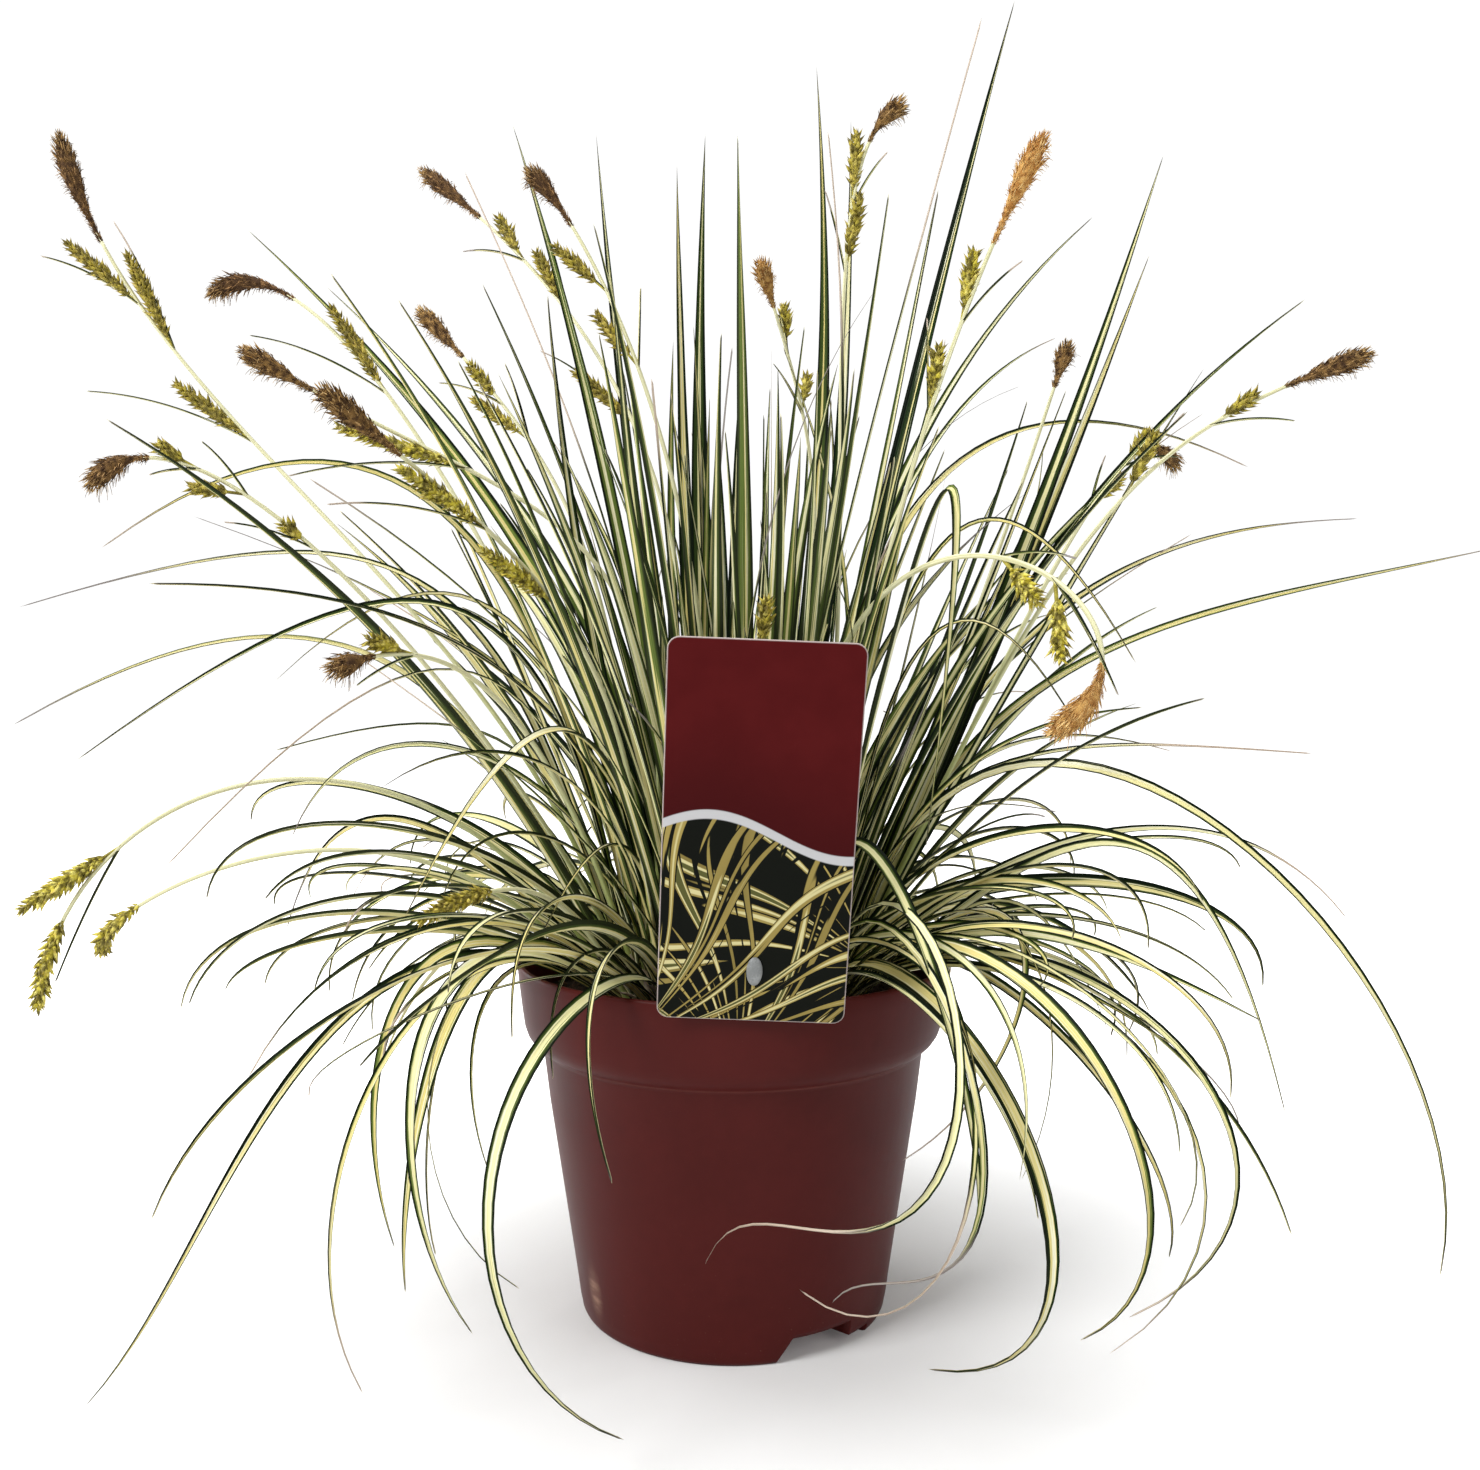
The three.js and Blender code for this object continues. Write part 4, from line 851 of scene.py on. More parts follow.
SOIL_TOP = dict(outer=80.0, inner=1.2, rows=66, lowest=-2.4, highest=2.6)
MOUND = dict(height=1.5, outer=78, inner=30)
CRUMBS = dict(count=620, radius=79, lift=0.6)
SOIL_SEEDS = dict(clods=31, grain=32, crumbs=33)


def recess_edges():
    """The left and right flank of the tall arch and the right flank of its low step, along the wall."""
    half = RECESS["width"] / 2
    return -half, half, half + RECESS["low_width"]


def along_wall(turn, heading):
    """Distance along the wall at its foot from the middle of a recess."""
    return np.radians((np.degrees(turn) - heading + 180) % 360 - 180) * POT["base"]


def span_mask(low, high, value, soft=0.5):
    """1 between two values and 0 outside them, with a soft step at each."""
    return smooth_step(low - soft, low + soft, value) * smooth_step(high + soft, high - soft, value)


def recess_mask(turn, z, margin):
    """How far inside a drainage recess a point of the wall lies, from 0 to 1.

    A recess is a tall arch with a lower step on its right. The margin widens it for the wall's inner side and
    for the soil.
    """
    left, right, low_right = recess_edges()
    mask = np.zeros(np.broadcast(turn, z).shape)
    for heading in RECESS["headings"]:
        y = along_wall(turn, heading)
        tall = span_mask(left - margin, right + margin, y) * (z < RECESS["height"] + margin)
        low = span_mask(right + margin - 1, low_right + margin, y) * (z < RECESS["low_height"] + margin)
        mask = np.maximum(mask, np.maximum(tall, low))
    return mask


def sunk(radius, turn, z, margin):
    """The radius of a wall, which steps back to the recess's depth inside a recess."""
    back = POT["base"] - RECESS["depth"] - margin
    return np.where(radius > back, radius + (back - radius) * recess_mask(turn, z, margin), radius)


def leaned(turn, z):
    """The left flank of each recess slopes: low points near it move outwards along the wall."""
    left = recess_edges()[0]
    for heading in RECESS["headings"]:
        near = smooth_step(13, 3, np.abs(along_wall(turn, heading) - left))
        turn = turn - np.maximum(0, RECESS["height"] - z) * RECESS["lean"] * near / POT["base"]
    return turn


def wall_turns():
    """Turns round the pot: even steps, with close ones at the flanks of each recess and of its inner sides."""
    turns = list(np.linspace(0, 2 * math.pi, WALL_SIDES, endpoint=False))
    left, right, low_right = recess_edges()
    for heading in RECESS["headings"]:
        for margin in (0, POT["wall"], SOIL_MARGIN):
            for edge in (left - margin, right + margin, low_right + margin):
                for step in (-0.55, -0.2, 0.2, 0.55):
                    turns.append((math.radians(heading) + (edge + step) / POT["base"]) % (2 * math.pi))
    return np.array(sorted(set(np.round(turns, 4))))


def pot_surface():
    """The pot's line turned round Z, with the mould line on its outside as a low bell-shaped ring."""
    line = np.array(WALL_LINE, float)
    top = int(line[:, 1].argmax())
    radii, heights = line[1:-1, 0], line[1:-1, 1]
    outside = np.arange(1, len(line) - 1) < top
    turns = wall_turns()
    grid_turn, grid_z = np.meshgrid(turns, heights)
    radius = sunk(radii[:, None], grid_turn, grid_z, np.where(outside, 0, POT["wall"])[:, None])
    ring = MOULD_LINE["height"] * np.exp(-((grid_z - MOULD_LINE["z"]) / MOULD_LINE["spread"]) ** 2)
    radius = radius + np.where(outside[:, None], ring, 0)
    rings = around(radius, leaned(grid_turn, grid_z), grid_z)
    return skin(rings, [0, 0, 0], [0, 0, POT["floor"]], turns / (2 * math.pi))


def lumps(x, y, waves, reach, seed):
    """Rolling ground: the sum of sine waves of many directions and lengths, over the root of their number."""
    rng = np.random.default_rng(seed)
    height = np.zeros(np.broadcast(x, y).shape)
    for _ in range(waves):
        turn, length, start = rng.uniform(0, 2 * math.pi), rng.uniform(*reach), rng.uniform(0, 2 * math.pi)
        height += np.sin((x * math.cos(turn) + y * math.sin(turn)) * 2 * math.pi / length + start)
    return height / math.sqrt(waves)


def mound(radius):
    """The soil's top rises a little from the wall to the crown."""
    return MOUND["height"] * smooth_step(MOUND["outer"], MOUND["inner"], radius)


def soil_surface():
    """A plug of soil: its side follows the pot's inner wall, and its top rolls and is crumbly."""
    radii = np.linspace(SOIL_TOP["outer"], SOIL_TOP["inner"], SOIL_TOP["rows"])
    line = np.array(SOIL_SIDE + [(radius, SOIL["top"]) for radius in radii])
    turn, z = np.meshgrid(wall_turns(), line[:, 1])
    rings = around(sunk(line[:, :1], turn, z, SOIL_MARGIN), leaned(turn, z), z)
    x, y = rings[..., 0], rings[..., 1]
    loose = smooth_step(0, 3, np.arange(len(line)) - len(SOIL_SIDE))[:, None]
    clods = lumps(x, y, waves=9, reach=(14, 40), seed=SOIL_SEEDS["clods"])
    grain = lumps(x, y, waves=16, reach=(3.2, 9), seed=SOIL_SEEDS["grain"])
    rough = np.clip(0.9 * clods + 0.55 * grain, SOIL_TOP["lowest"], SOIL_TOP["highest"])
    rings[..., 2] += loose * (rough + mound(np.hypot(x, y)))
    return skin(rings, [0, 0, SOIL_SIDE[0][1]], [0, 0, float(rings[-1, :, 2].mean())])


CRUMB = spindle([(0.16, 0.78), (0.5, 1.0), (0.84, 0.7)], 5)


def soil_crumbs():
    """Crumbs and flakes of bark that lie half sunk in the top of the soil."""
    rng, count = np.random.default_rng(SOIL_SEEDS["crumbs"]), CRUMBS["count"]
    radius = CRUMBS["radius"] * np.sqrt(rng.uniform(0.02, 1, count))
    turn = rng.uniform(0, 2 * math.pi, count)
    size = rng.uniform(0.5, 1.9, count) * np.where(rng.random(count) > 0.93, 1.7, 1)
    axes = np.linalg.qr(rng.normal(size=(count, 3, 3)))[0]
    axes *= np.sign(np.linalg.det(axes))[:, None, None]
    at = around(radius, turn, SOIL["top"] + CRUMBS["lift"])
    at[:, 2] += mound(radius)
    sizes = size[:, None] * rng.uniform(0.5, 1.2, (count, 3)) * np.array([1, 0.7, 2])
    return copies(CRUMB, at - axes[:, 2] * sizes[:, 2:] / 2, axes, sizes, tone=rng.random(count))


# ---- card and stake

def card_outline(steps=7):
    """Points round the card with their outward directions: straight sides joined by quarter circles."""
    half, corner, height = CARD["width"] / 2, CARD["corner"], CARD["height"]
    turns = np.linspace(0, math.pi / 2, steps)
    rows = []
    for quarter, (x, z) in enumerate([(half, height), (-half, height), (-half, 0), (half, 0)]):
        middle_x, middle_z = x - math.copysign(corner, x), z + (corner if z == 0 else -corner)
        out_x, out_z = np.cos(turns + quarter * math.pi / 2), np.sin(turns + quarter * math.pi / 2)
        rows.append(np.stack([middle_x + corner * out_x, middle_z + corner * out_z, out_x, out_z], -1))
    return np.concatenate(rows)


def card_surface():
    """The card, closed front and back: rings of its outline, inset at each depth so that its edge is rounded.

    Its map runs over its face.
    """
    thick = CARD["thickness"]
    edge = [(3, 0), (0.5, 0), (0.12, 0.06), (0, 0.25)]
    steps = [(inset, -depth) for inset, depth in edge] + [(inset, depth - thick) for inset, depth in edge[::-1]]
    x, z, out_x, out_z = card_outline().T
    rings = np.array([np.stack([x - out_x * inset, 0 * x + y, z - out_z * inset], -1) for inset, y in steps])
    made = skin(rings, [0, 0, CARD["height"] / 2], [0, -thick, CARD["height"] / 2])
    flat = made["points"]
    made["uv"] = np.stack([flat[:, 0] / CARD["width"] + 0.5, flat[:, 2] / CARD["height"]], -1)
    behind = flat[:, 1] > -0.15
    cut = (flat[:, 1] > -thick + 0.02) & ~behind
    made["tones"] = dict(back=behind.astype(float), edge=cut.astype(float))
    made["points"] = on_card(flat)
    return made


def button_surface():
    """The stake's oval head: a dome on a rim, which falls as the fourth power of the share of its radius."""
    turns = np.linspace(0, 2 * math.pi, 40, endpoint=False)
    x, z, front, rim = STAKE["across"], STAKE["up"], -CARD["thickness"] - GAP, 0.45
    rows = [(0.6, front), (0.97, front), (1, front - 0.3)]
    for share in (0.99, 0.95, 0.86, 0.72, 0.5, 0.25):
        rows.append((share, front - rim - (STAKE["dome"] - rim) * (1 - share ** 4)))
    wide, high = STAKE["width"] / 2 * np.cos(turns), STAKE["height"] / 2 * np.sin(turns)
    rings = np.array([np.stack([x + share * wide, 0 * wide + y, z + share * high], -1) for share, y in rows])
    made = skin(rings, [x, front, z], [x, front - STAKE["dome"], z])
    made["points"] = on_card(made["points"])
    return made


def strap_surface(path, width, thick, sides=16):
    """A strap carried along a path in the plane of Y and Z.

    Its section is an oval whose cosine and sine are raised to a low power, nearly a rectangle with soft corners.
    """
    path = np.array(path, float)
    course = unit(np.gradient(path, axis=0))
    up = np.stack([course[:, 1], -course[:, 0]], -1)
    turns = np.linspace(0, 2 * math.pi, sides, endpoint=False)
    wide = np.sign(np.cos(turns)) * abs(np.cos(turns)) ** 0.35 * width / 2
    high = np.sign(np.sin(turns)) * abs(np.sin(turns)) ** 0.35 * thick / 2
    x = STAKE_PLACE[0] + np.broadcast_to(wide, (len(path), sides))
    rings = np.stack([x, path[:, :1] + up[:, :1] * high, path[:, 1:] + up[:, 1:] * high], -1)
    return skin(rings, [STAKE_PLACE[0], *path[0]], [STAKE_PLACE[0], *path[-1]])


def stake_surfaces():
    """The head, and behind it one strap: through the card, over the rim and down into the soil."""
    _, y, z = STAKE_PLACE
    bend = np.linspace(0, math.pi / 2, 9)
    bend_radius = 6
    corner_y, corner_z = STAKE["tang_y"] - bend_radius, z - bend_radius
    path = [(y - 1.6, z - 0.3), (y + 2, z), (y + 6, z), (corner_y - 1, z)]
    path += list(zip(corner_y + bend_radius * np.sin(bend), corner_z + bend_radius * np.cos(bend)))
    path += [(STAKE["tang_y"], height) for height in np.linspace(corner_z - 3, STAKE["tang_foot"], 8)]
    return [button_surface(), strap_surface(path, STAKE["arm"], STAKE["thick"])]


# ---- finishes

class Nodes:
    """The nodes of one material or group, made by short calls that return their output sockets."""

    def __init__(self, tree):
        self.tree = tree

    def feed(self, sockets, inputs):
        """Each input is a socket that is linked, or a plain value."""
        for name, value in inputs.items():
            if isinstance(value, bpy.types.NodeSocket):
                self.tree.links.new(value, sockets[name])
            else:
                sockets[name].default_value = value

    def add(self, kind, inputs=None, output=0, **settings):
        made = self.tree.nodes.new(kind)
        for name, value in settings.items():
            setattr(made, name, value)
        self.feed(made.inputs, inputs or {})
        return made.outputs[output]

    def math(self, operation, *values, clamp=False):
        return self.add("ShaderNodeMath", dict(enumerate(values)), operation=operation, use_clamp=clamp)

    def times(self, first, second):
        return self.math("MULTIPLY", first, second)

    def minus(self, first, second):
        return self.math("SUBTRACT", first, second)

    def line(self, value, slope, start):
        """The slope times the value, plus the start."""
        return self.math("MULTIPLY_ADD", value, slope, start)

    def stir(self, value, noise, amount):
        """The value, moved by an amount times the noise's distance from its middle, a half."""
        return self.line(self.minus(noise, 0.5), amount, value)

    def redraw(self, tone, factor):
        """Another number from 0 to 1 for each tone: the fraction of a multiple of it."""
        return self.math("FRACT", self.times(tone, factor))

    def step(self, value, low, high):
        """0 at the low value and beyond, 1 at the high one and beyond, and a soft step between."""
        return self.add("ShaderNodeMapRange", {"Value": value, "From Min": low, "From Max": high},
                        interpolation_type="SMOOTHSTEP")

    def mix(self, share, first, second):
        """A colour between two, by a share from 0 to 1."""
        colours = {6: first, 7: second}
        solid = {index: (*colour, 1) for index, colour in colours.items() if isinstance(colour, tuple)}
        return self.add("ShaderNodeMix", {0: share, **colours, **solid}, output=2, data_type="RGBA")

    def noise(self, vector, scale, detail=2.0, roughness=0.5):
        return self.add("ShaderNodeTexNoise", {"Vector": vector, "Scale": scale, "Detail": detail,
                                               "Roughness": roughness})

    def tone(self, name):
        """A number that the surface carries at its points."""
        return self.add("ShaderNodeAttribute", output=2, attribute_name=name)

    def place(self):
        """Where a point of the part lies, in metres."""
        return self.add("ShaderNodeTexCoord", output=3)

    def join(self, x, y, z=0.0):
        return self.add("ShaderNodeCombineXYZ", {"X": x, "Y": y, "Z": z})

    def group(self, group, inputs):
        return self.add("ShaderNodeGroup", inputs, node_tree=group)

    def mottle(self, scale, grain):
        """Soft mottle in the part's own space."""
        return self.group(MOTTLE, dict(Position=self.place(), Scale=scale, Grain=grain))

    def map(self):
        """The surface's own map: how far across and how far along."""
        across = self.add("ShaderNodeSeparateXYZ", {"Vector": self.add("ShaderNodeUVMap", uv_map="surface")})
        return across, across.node.outputs[1]

    def fibres(self, count):
        """How far across and along, and the fibres and veins there."""
        across, along = self.map()
        fibre = self.group(FIBRES, dict(Across=across, Along=along, Offset=self.tone("tone"), Count=count))
        return across, along, fibre, fibre.node.outputs["Vein"]

    def bump(self, height, strength, distance):
        return self.add("ShaderNodeBump", {"Height": height, "Strength": strength, "Distance": distance})

    def length(self, vector):
        return self.add("ShaderNodeVectorMath", {0: vector}, output=1, operation="LENGTH")

    def wire(self, shader, **sockets):
        self.feed(shader.inputs, {name.replace("_", " "): value for name, value in sockets.items()})


def finish(name, **values):
    """A material, its nodes and its shader with the given values, which a link may take over."""
    made = bpy.data.materials.new(name)
    made.use_nodes = True
    nodes, shader = Nodes(made.node_tree), made.node_tree.nodes["Principled BSDF"]
    nodes.wire(shader, **values)
    return made, nodes, shader


def node_group(name, inputs, outputs):
    """A group whose inputs are numbers, or a vector where no number is given, and whose outputs are numbers."""
    group = bpy.data.node_groups.new(name, "ShaderNodeTree")
    for socket, value in inputs.items():
        kind = "NodeSocketVector" if value is None else "NodeSocketFloat"
        made = group.interface.new_socket(socket, in_out="INPUT", socket_type=kind)
        if value is not None:
            made.default_value = value
    for socket in outputs:
        group.interface.new_socket(socket, in_out="OUTPUT", socket_type="NodeSocketFloat")
    given, out = group.nodes.new("NodeGroupInput").outputs, group.nodes.new("NodeGroupOutput").inputs
    return group, given, out, Nodes(group)


def fibre_group():
    """Lengthwise fibres: noise that varies across a leaf or stem and hardly along it, and even veins."""
    group, given, out, nodes = node_group(
        "lengthwise fibres", dict(Across=0.0, Along=0.0, Offset=0.0, Count=20.0), ["Fibre", "Vein"])
    across = nodes.times(nodes.line(given["Offset"], 37.0, given["Across"]), given["Count"])
    fibre = nodes.noise(nodes.join(across, nodes.times(given["Along"], 2.2)), 1.0, 2.0, 0.6)
    vein = nodes.line(nodes.math("SINE", nodes.times(across, 6.2832)), 0.5, 0.5)
    nodes.feed(out, dict(Fibre=fibre, Vein=vein))
    return group


def mottle_group():
    """Soft mottle: slow noise over the surface, with a little fine grain on top of it."""
    group, given, out, nodes = node_group("soft mottle", dict(Position=None, Scale=20.0, Grain=0.3), ["Mottle"])
    slow = nodes.noise(given["Position"], given["Scale"], 3.0)
    fine = nodes.noise(given["Position"], nodes.times(given["Scale"], 14.0))
    nodes.feed(out, dict(Mottle=nodes.stir(slow, fine, given["Grain"])))
    return group


FIBRES, MOTTLE = fibre_group(), mottle_group()


def leaf_finish():
    """Striped leaf.

    A cream band lies between dark green edges, a little off the middle, with thin lines of each in the other. The
    foot is pale, the tip dries to pale straw, and the underside is duller.
    """
    made, nodes, shader = finish("striped leaf", Roughness=0.5, Specular_IOR_Level=0.07)
    across, along, fibre, vein = nodes.fibres(7.0)
    tone = nodes.tone("tone")
    band_middle = nodes.line(nodes.redraw(tone, 5.7), 0.24, 0.38)
    from_middle = nodes.times(nodes.math("ABSOLUTE", nodes.minus(across, band_middle)), 2.0)
    wander = nodes.noise(nodes.join(nodes.times(tone, 41.0), nodes.times(along, 5.0)), 1.0, 1.0)
    edge = nodes.stir(nodes.tone("cream"), wander, 0.22)
    green = nodes.step(nodes.minus(nodes.stir(from_middle, fibre, 1.7), edge), -0.06, 0.06)

    warm = nodes.mix(nodes.step(tone, 0.1, 0.95), (0.87, 0.83, 0.44), (0.80, 0.68, 0.25))
    fresh = nodes.mix(nodes.step(fibre, 0.5, 0.34), warm, (0.91, 0.89, 0.66))
    leafy = nodes.mix(nodes.redraw(tone, 7.31), (0.010, 0.028, 0.005), (0.165, 0.235, 0.045))
    rim = nodes.step(nodes.line(fibre, 0.25, from_middle), 0.58, 0.95)
    upper = nodes.mix(green, fresh, nodes.mix(rim, leafy, (0.0025, 0.007, 0.002)))
    lower = nodes.mix(nodes.times(green, 0.85), (0.56, 0.55, 0.27), (0.028, 0.050, 0.014))
    colour = nodes.mix(nodes.times(nodes.tone("under"), 0.2), upper, lower)
    colour = nodes.mix(nodes.times(nodes.step(along, 0.11, 0.0), 0.6), colour, (0.22, 0.20, 0.07))

    start = nodes.minus(1.0, nodes.line(nodes.tone("dry"), DRIED_SHARE, 0.03))
    wilt = nodes.step(nodes.stir(along, fibre, 0.12), start, nodes.math("ADD", start, 0.09))
    straw = nodes.mix(nodes.step(fibre, 0.3, 0.7), (0.50, 0.37, 0.27), (0.80, 0.69, 0.58))
    straw = nodes.mix(nodes.step(nodes.redraw(tone, 3.3), 0.4, 0.9), straw, (0.34, 0.31, 0.30))
    colour = nodes.mix(nodes.times(wilt, 0.93), colour, straw)
    rough = nodes.line(fibre, 0.2, nodes.line(wilt, 0.25, 0.36))
    nodes.wire(shader, Base_Color=colour, Roughness=rough, Normal=nodes.bump(vein, 0.35, 0.00022))
    return made


def stem_finish():
    """Pale yellow-green stem with fine ribs, greener towards its foot."""
    made, nodes, shader = finish("pale stem", Roughness=0.45, Specular_IOR_Level=0.4)
    _, along, fibre, vein = nodes.fibres(9.0)
    pale = nodes.mix(nodes.step(fibre, 0.35, 0.65), (0.60, 0.58, 0.31), (0.86, 0.84, 0.56))
    colour = nodes.mix(nodes.step(along, 0.55, 0.0), pale, (0.30, 0.36, 0.09))
    nodes.wire(shader, Base_Color=colour, Normal=nodes.bump(vein, 0.3, 0.0001))
    return made


def ear_finish():
    """Green fruits: olive to bright yellow, each a little different, with painted shade at each fruit's foot and a
    brown beak.
    """
    made, nodes, shader = finish("green ear", Roughness=0.55, Specular_IOR_Level=0.25)
    tone, tip, yellow = nodes.tone("tone"), nodes.tone("tip"), nodes.tone("yellow")
    olive = nodes.mix(tone, (0.24, 0.175, 0.018), (0.56, 0.40, 0.055))
    bright = nodes.mix(tone, (0.82, 0.71, 0.06), (0.98, 0.89, 0.24))
    # foot: each fruit's foot, and a little of the axis between the fruits, is painted darker. This is painted
    # shade where the fruits crowd on the axis.
    foot = nodes.mix(yellow, (0.055, 0.042, 0.008), (0.38, 0.32, 0.04))
    beak = nodes.mix(yellow, (0.16, 0.075, 0.022), (0.72, 0.50, 0.12))
    colour = nodes.mix(nodes.times(nodes.step(tip, 0.4, 0.0), 0.8), nodes.mix(yellow, olive, bright), foot)
    colour = nodes.mix(nodes.times(nodes.step(tip, 0.5, 0.9), 0.85), colour, beak)
    grain = nodes.mottle(400.0, 0.6)
    colour = nodes.mix(nodes.step(grain, 0.62, 0.4), colour, (0.15, 0.12, 0.02))
    nodes.wire(shader, Base_Color=colour, Normal=nodes.bump(grain, 0.25, 0.0002))
    return made


def male_finish():
    """Furry spike: dark brown scales with straw tips, more golden where the spike is young, painted more golden
    towards its top as a painted highlight, and with patches of painted shade in the hollows between the scales.
    """
    made, nodes, shader = finish("furry spike", Roughness=0.8, Specular_IOR_Level=0.15)
    tone, tip, young = nodes.tone("tone"), nodes.tone("tip"), nodes.tone("golden")
    brown = nodes.mix(nodes.math("POWER", tone, 1.7), (0.045, 0.020, 0.008), (0.52, 0.275, 0.11))
    golden = nodes.mix(tone, (0.62, 0.33, 0.08), (1.0, 0.72, 0.32))
    # top: towards the spike's top the colour is painted lighter and more golden, a painted highlight where the
    # light falls on its upper part. bright adds this painted highlight to the spike's own golden tone.
    top = nodes.times(nodes.step(nodes.tone("up"), 0.62, 1.0), 0.55)
    bright = nodes.math("ADD", young, top, clamp=True)
    straw = nodes.mix(bright, (0.46, 0.26, 0.11), (0.97, 0.72, 0.34))
    colour = nodes.mix(nodes.times(nodes.step(tip, 0.6, 1.0), 0.6), nodes.mix(bright, brown, golden), straw)
    grain = nodes.mottle(500.0, 0.8)
    # Dark mottle patches over the scales: painted shade in the hollows between them.
    painted_hollow_shade = nodes.mix(nodes.step(young, 0.5, 1.0), (0.06, 0.030, 0.014), (0.44, 0.20, 0.05))
    colour = nodes.mix(nodes.step(grain, 0.64, 0.38), colour, painted_hollow_shade)
    nodes.wire(shader, Base_Color=colour, Normal=nodes.bump(grain, 0.3, 0.0002))
    return made


# the place and size of the painted highlight low on the pot's left flank
PATCH_HIGHLIGHT = dict(place=(-0.052, -0.0347, 0.016), scale=(1.0, 1.0, 0.4), outer=0.006, inner=0.001)


def pot_finish():
    """Thin moulded plastic, dark brick red and satin, with faint flow marks.

    Specks of dust gather low down, the mould line is painted paler as a painted highlight along its ridge, and low
    on the left is a painted highlight, a pale mottled patch.
    """
    made, nodes, shader = finish("brick red moulded plastic", Roughness=0.42, Specular_IOR_Level=0.12)
    place, mottle = nodes.place(), nodes.mottle(16.0, 0.25)
    colour = nodes.mix(nodes.step(mottle, 0.3, 0.72), (0.067, 0.0070, 0.0058), (0.081, 0.0088, 0.0075))
    height = nodes.add("ShaderNodeSeparateXYZ", {"Vector": place}, output=2)
    specks = nodes.step(nodes.noise(place, 900.0, 3.0, 0.7), 0.66, 0.78)
    dust = nodes.times(specks, nodes.line(nodes.step(height, 0.05, 0.0), 0.25, 0.05))
    colour = nodes.mix(dust, colour, (0.30, 0.20, 0.15))
    # The mould line's ridge is painted paler: a painted highlight along the ridge.
    from_ridge = nodes.math("ABSOLUTE", nodes.minus(height, MOULD_LINE["z"] * 0.001))
    colour = nodes.mix(nodes.times(nodes.step(from_ridge, 0.0008, 0.0002), 0.4), colour, (0.18, 0.06, 0.05))
    # A pale mottled patch low on the left flank: a painted highlight where the light from the left falls.
    back = tuple(-scale * value for scale, value in zip(PATCH_HIGHLIGHT["scale"], PATCH_HIGHLIGHT["place"]))
    from_patch_highlight = nodes.add("ShaderNodeMapping", {"Vector": place, "Location": back, "Scale": PATCH_HIGHLIGHT["scale"]})
    painted_patch_highlight = nodes.step(nodes.length(from_patch_highlight), PATCH_HIGHLIGHT["outer"], PATCH_HIGHLIGHT["inner"])
    patch_mottle = nodes.step(nodes.noise(nodes.join(nodes.times(height, 60.0), mottle), 3.0, 4.0, 0.7), 0.4, 0.65)
    colour = nodes.mix(nodes.times(painted_patch_highlight, nodes.line(patch_mottle, 0.4, 0.2)), colour, (0.42, 0.25, 0.17))
    drawn_out = nodes.add("ShaderNodeMapping", {"Vector": place, "Scale": (60.0, 60.0, 6.0)})
    flow = nodes.noise(drawn_out, 1.0, 4.0, 0.6)
    rough = nodes.line(mottle, 0.16, nodes.line(flow, 0.10, 0.26))
    relief = nodes.bump(nodes.line(flow, 2.5, nodes.noise(place, 2600.0)), 0.12, 0.00012)
    nodes.wire(shader, Base_Color=colour, Roughness=rough, Normal=relief)
    return made


def soil_finish(name, light):
    """Dark peat with lighter fibres and bark."""
    made, nodes, shader = finish(name, Roughness=0.95, Specular_IOR_Level=0.15)
    grain, tone = nodes.mottle(260.0, 0.9), nodes.tone("tone")
    dark = nodes.mix(nodes.step(grain, 0.35, 0.7), (0.012, 0.008, 0.005), (0.052, 0.034, 0.021))
    colour = nodes.mix(nodes.times(tone, 0.9), dark, nodes.mix(tone, (0.028, 0.016, 0.009), light))
    nodes.wire(shader, Base_Color=colour, Normal=nodes.bump(grain, 0.8, 0.0012))
    return made


CARD_FANS = [
    dict(origin=(1.15, 0.34), spread=11.0, start=7.0, share=0.59),
    dict(origin=(0.45, -0.30), spread=13.0, start=3.0, share=0.58),
    dict(origin=(-0.12, -0.16), spread=17.0, start=0.0, share=0.56),
]
DARK_FIELD = (0.004, 0.005, 0.003)


def ray_fan(nodes, across, up, behind, origin, spread, start, share):
    """Gold rays with a cream rib and dark edges that leave a point beside the card, over what lies behind."""
    x = nodes.minus(across, origin[0])
    y = nodes.line(up, CARD["height"] / CARD["width"], -origin[1])
    angle = nodes.math("ARCTAN2", y, x)
    away = nodes.math("SQRT", nodes.math("ADD", nodes.times(x, x), nodes.times(y, y)))
    bend = nodes.line(nodes.math("SINE", nodes.times(away, 4.0)), 0.06, angle)
    ray = nodes.noise(nodes.join(nodes.line(bend, spread, start), nodes.times(away, 0.5)), 1.0, 1.0)
    shade = nodes.noise(nodes.join(nodes.times(angle, 4.0), 0.0), 1.0, 0.0)
    gold = nodes.mix(shade, (0.13, 0.10, 0.025), (0.52, 0.40, 0.12))
    gold = nodes.mix(nodes.step(ray, share + 0.05, share + 0.07), gold, (0.66, 0.60, 0.30))
    gold = nodes.mix(nodes.step(ray, share + 0.11, share + 0.13), gold, (0.10, 0.10, 0.03))
    shown = nodes.mix(nodes.step(ray, share, share + 0.01), DARK_FIELD, gold)
    return nodes.mix(nodes.step(ray, share - 0.04, share - 0.03), behind, shown)


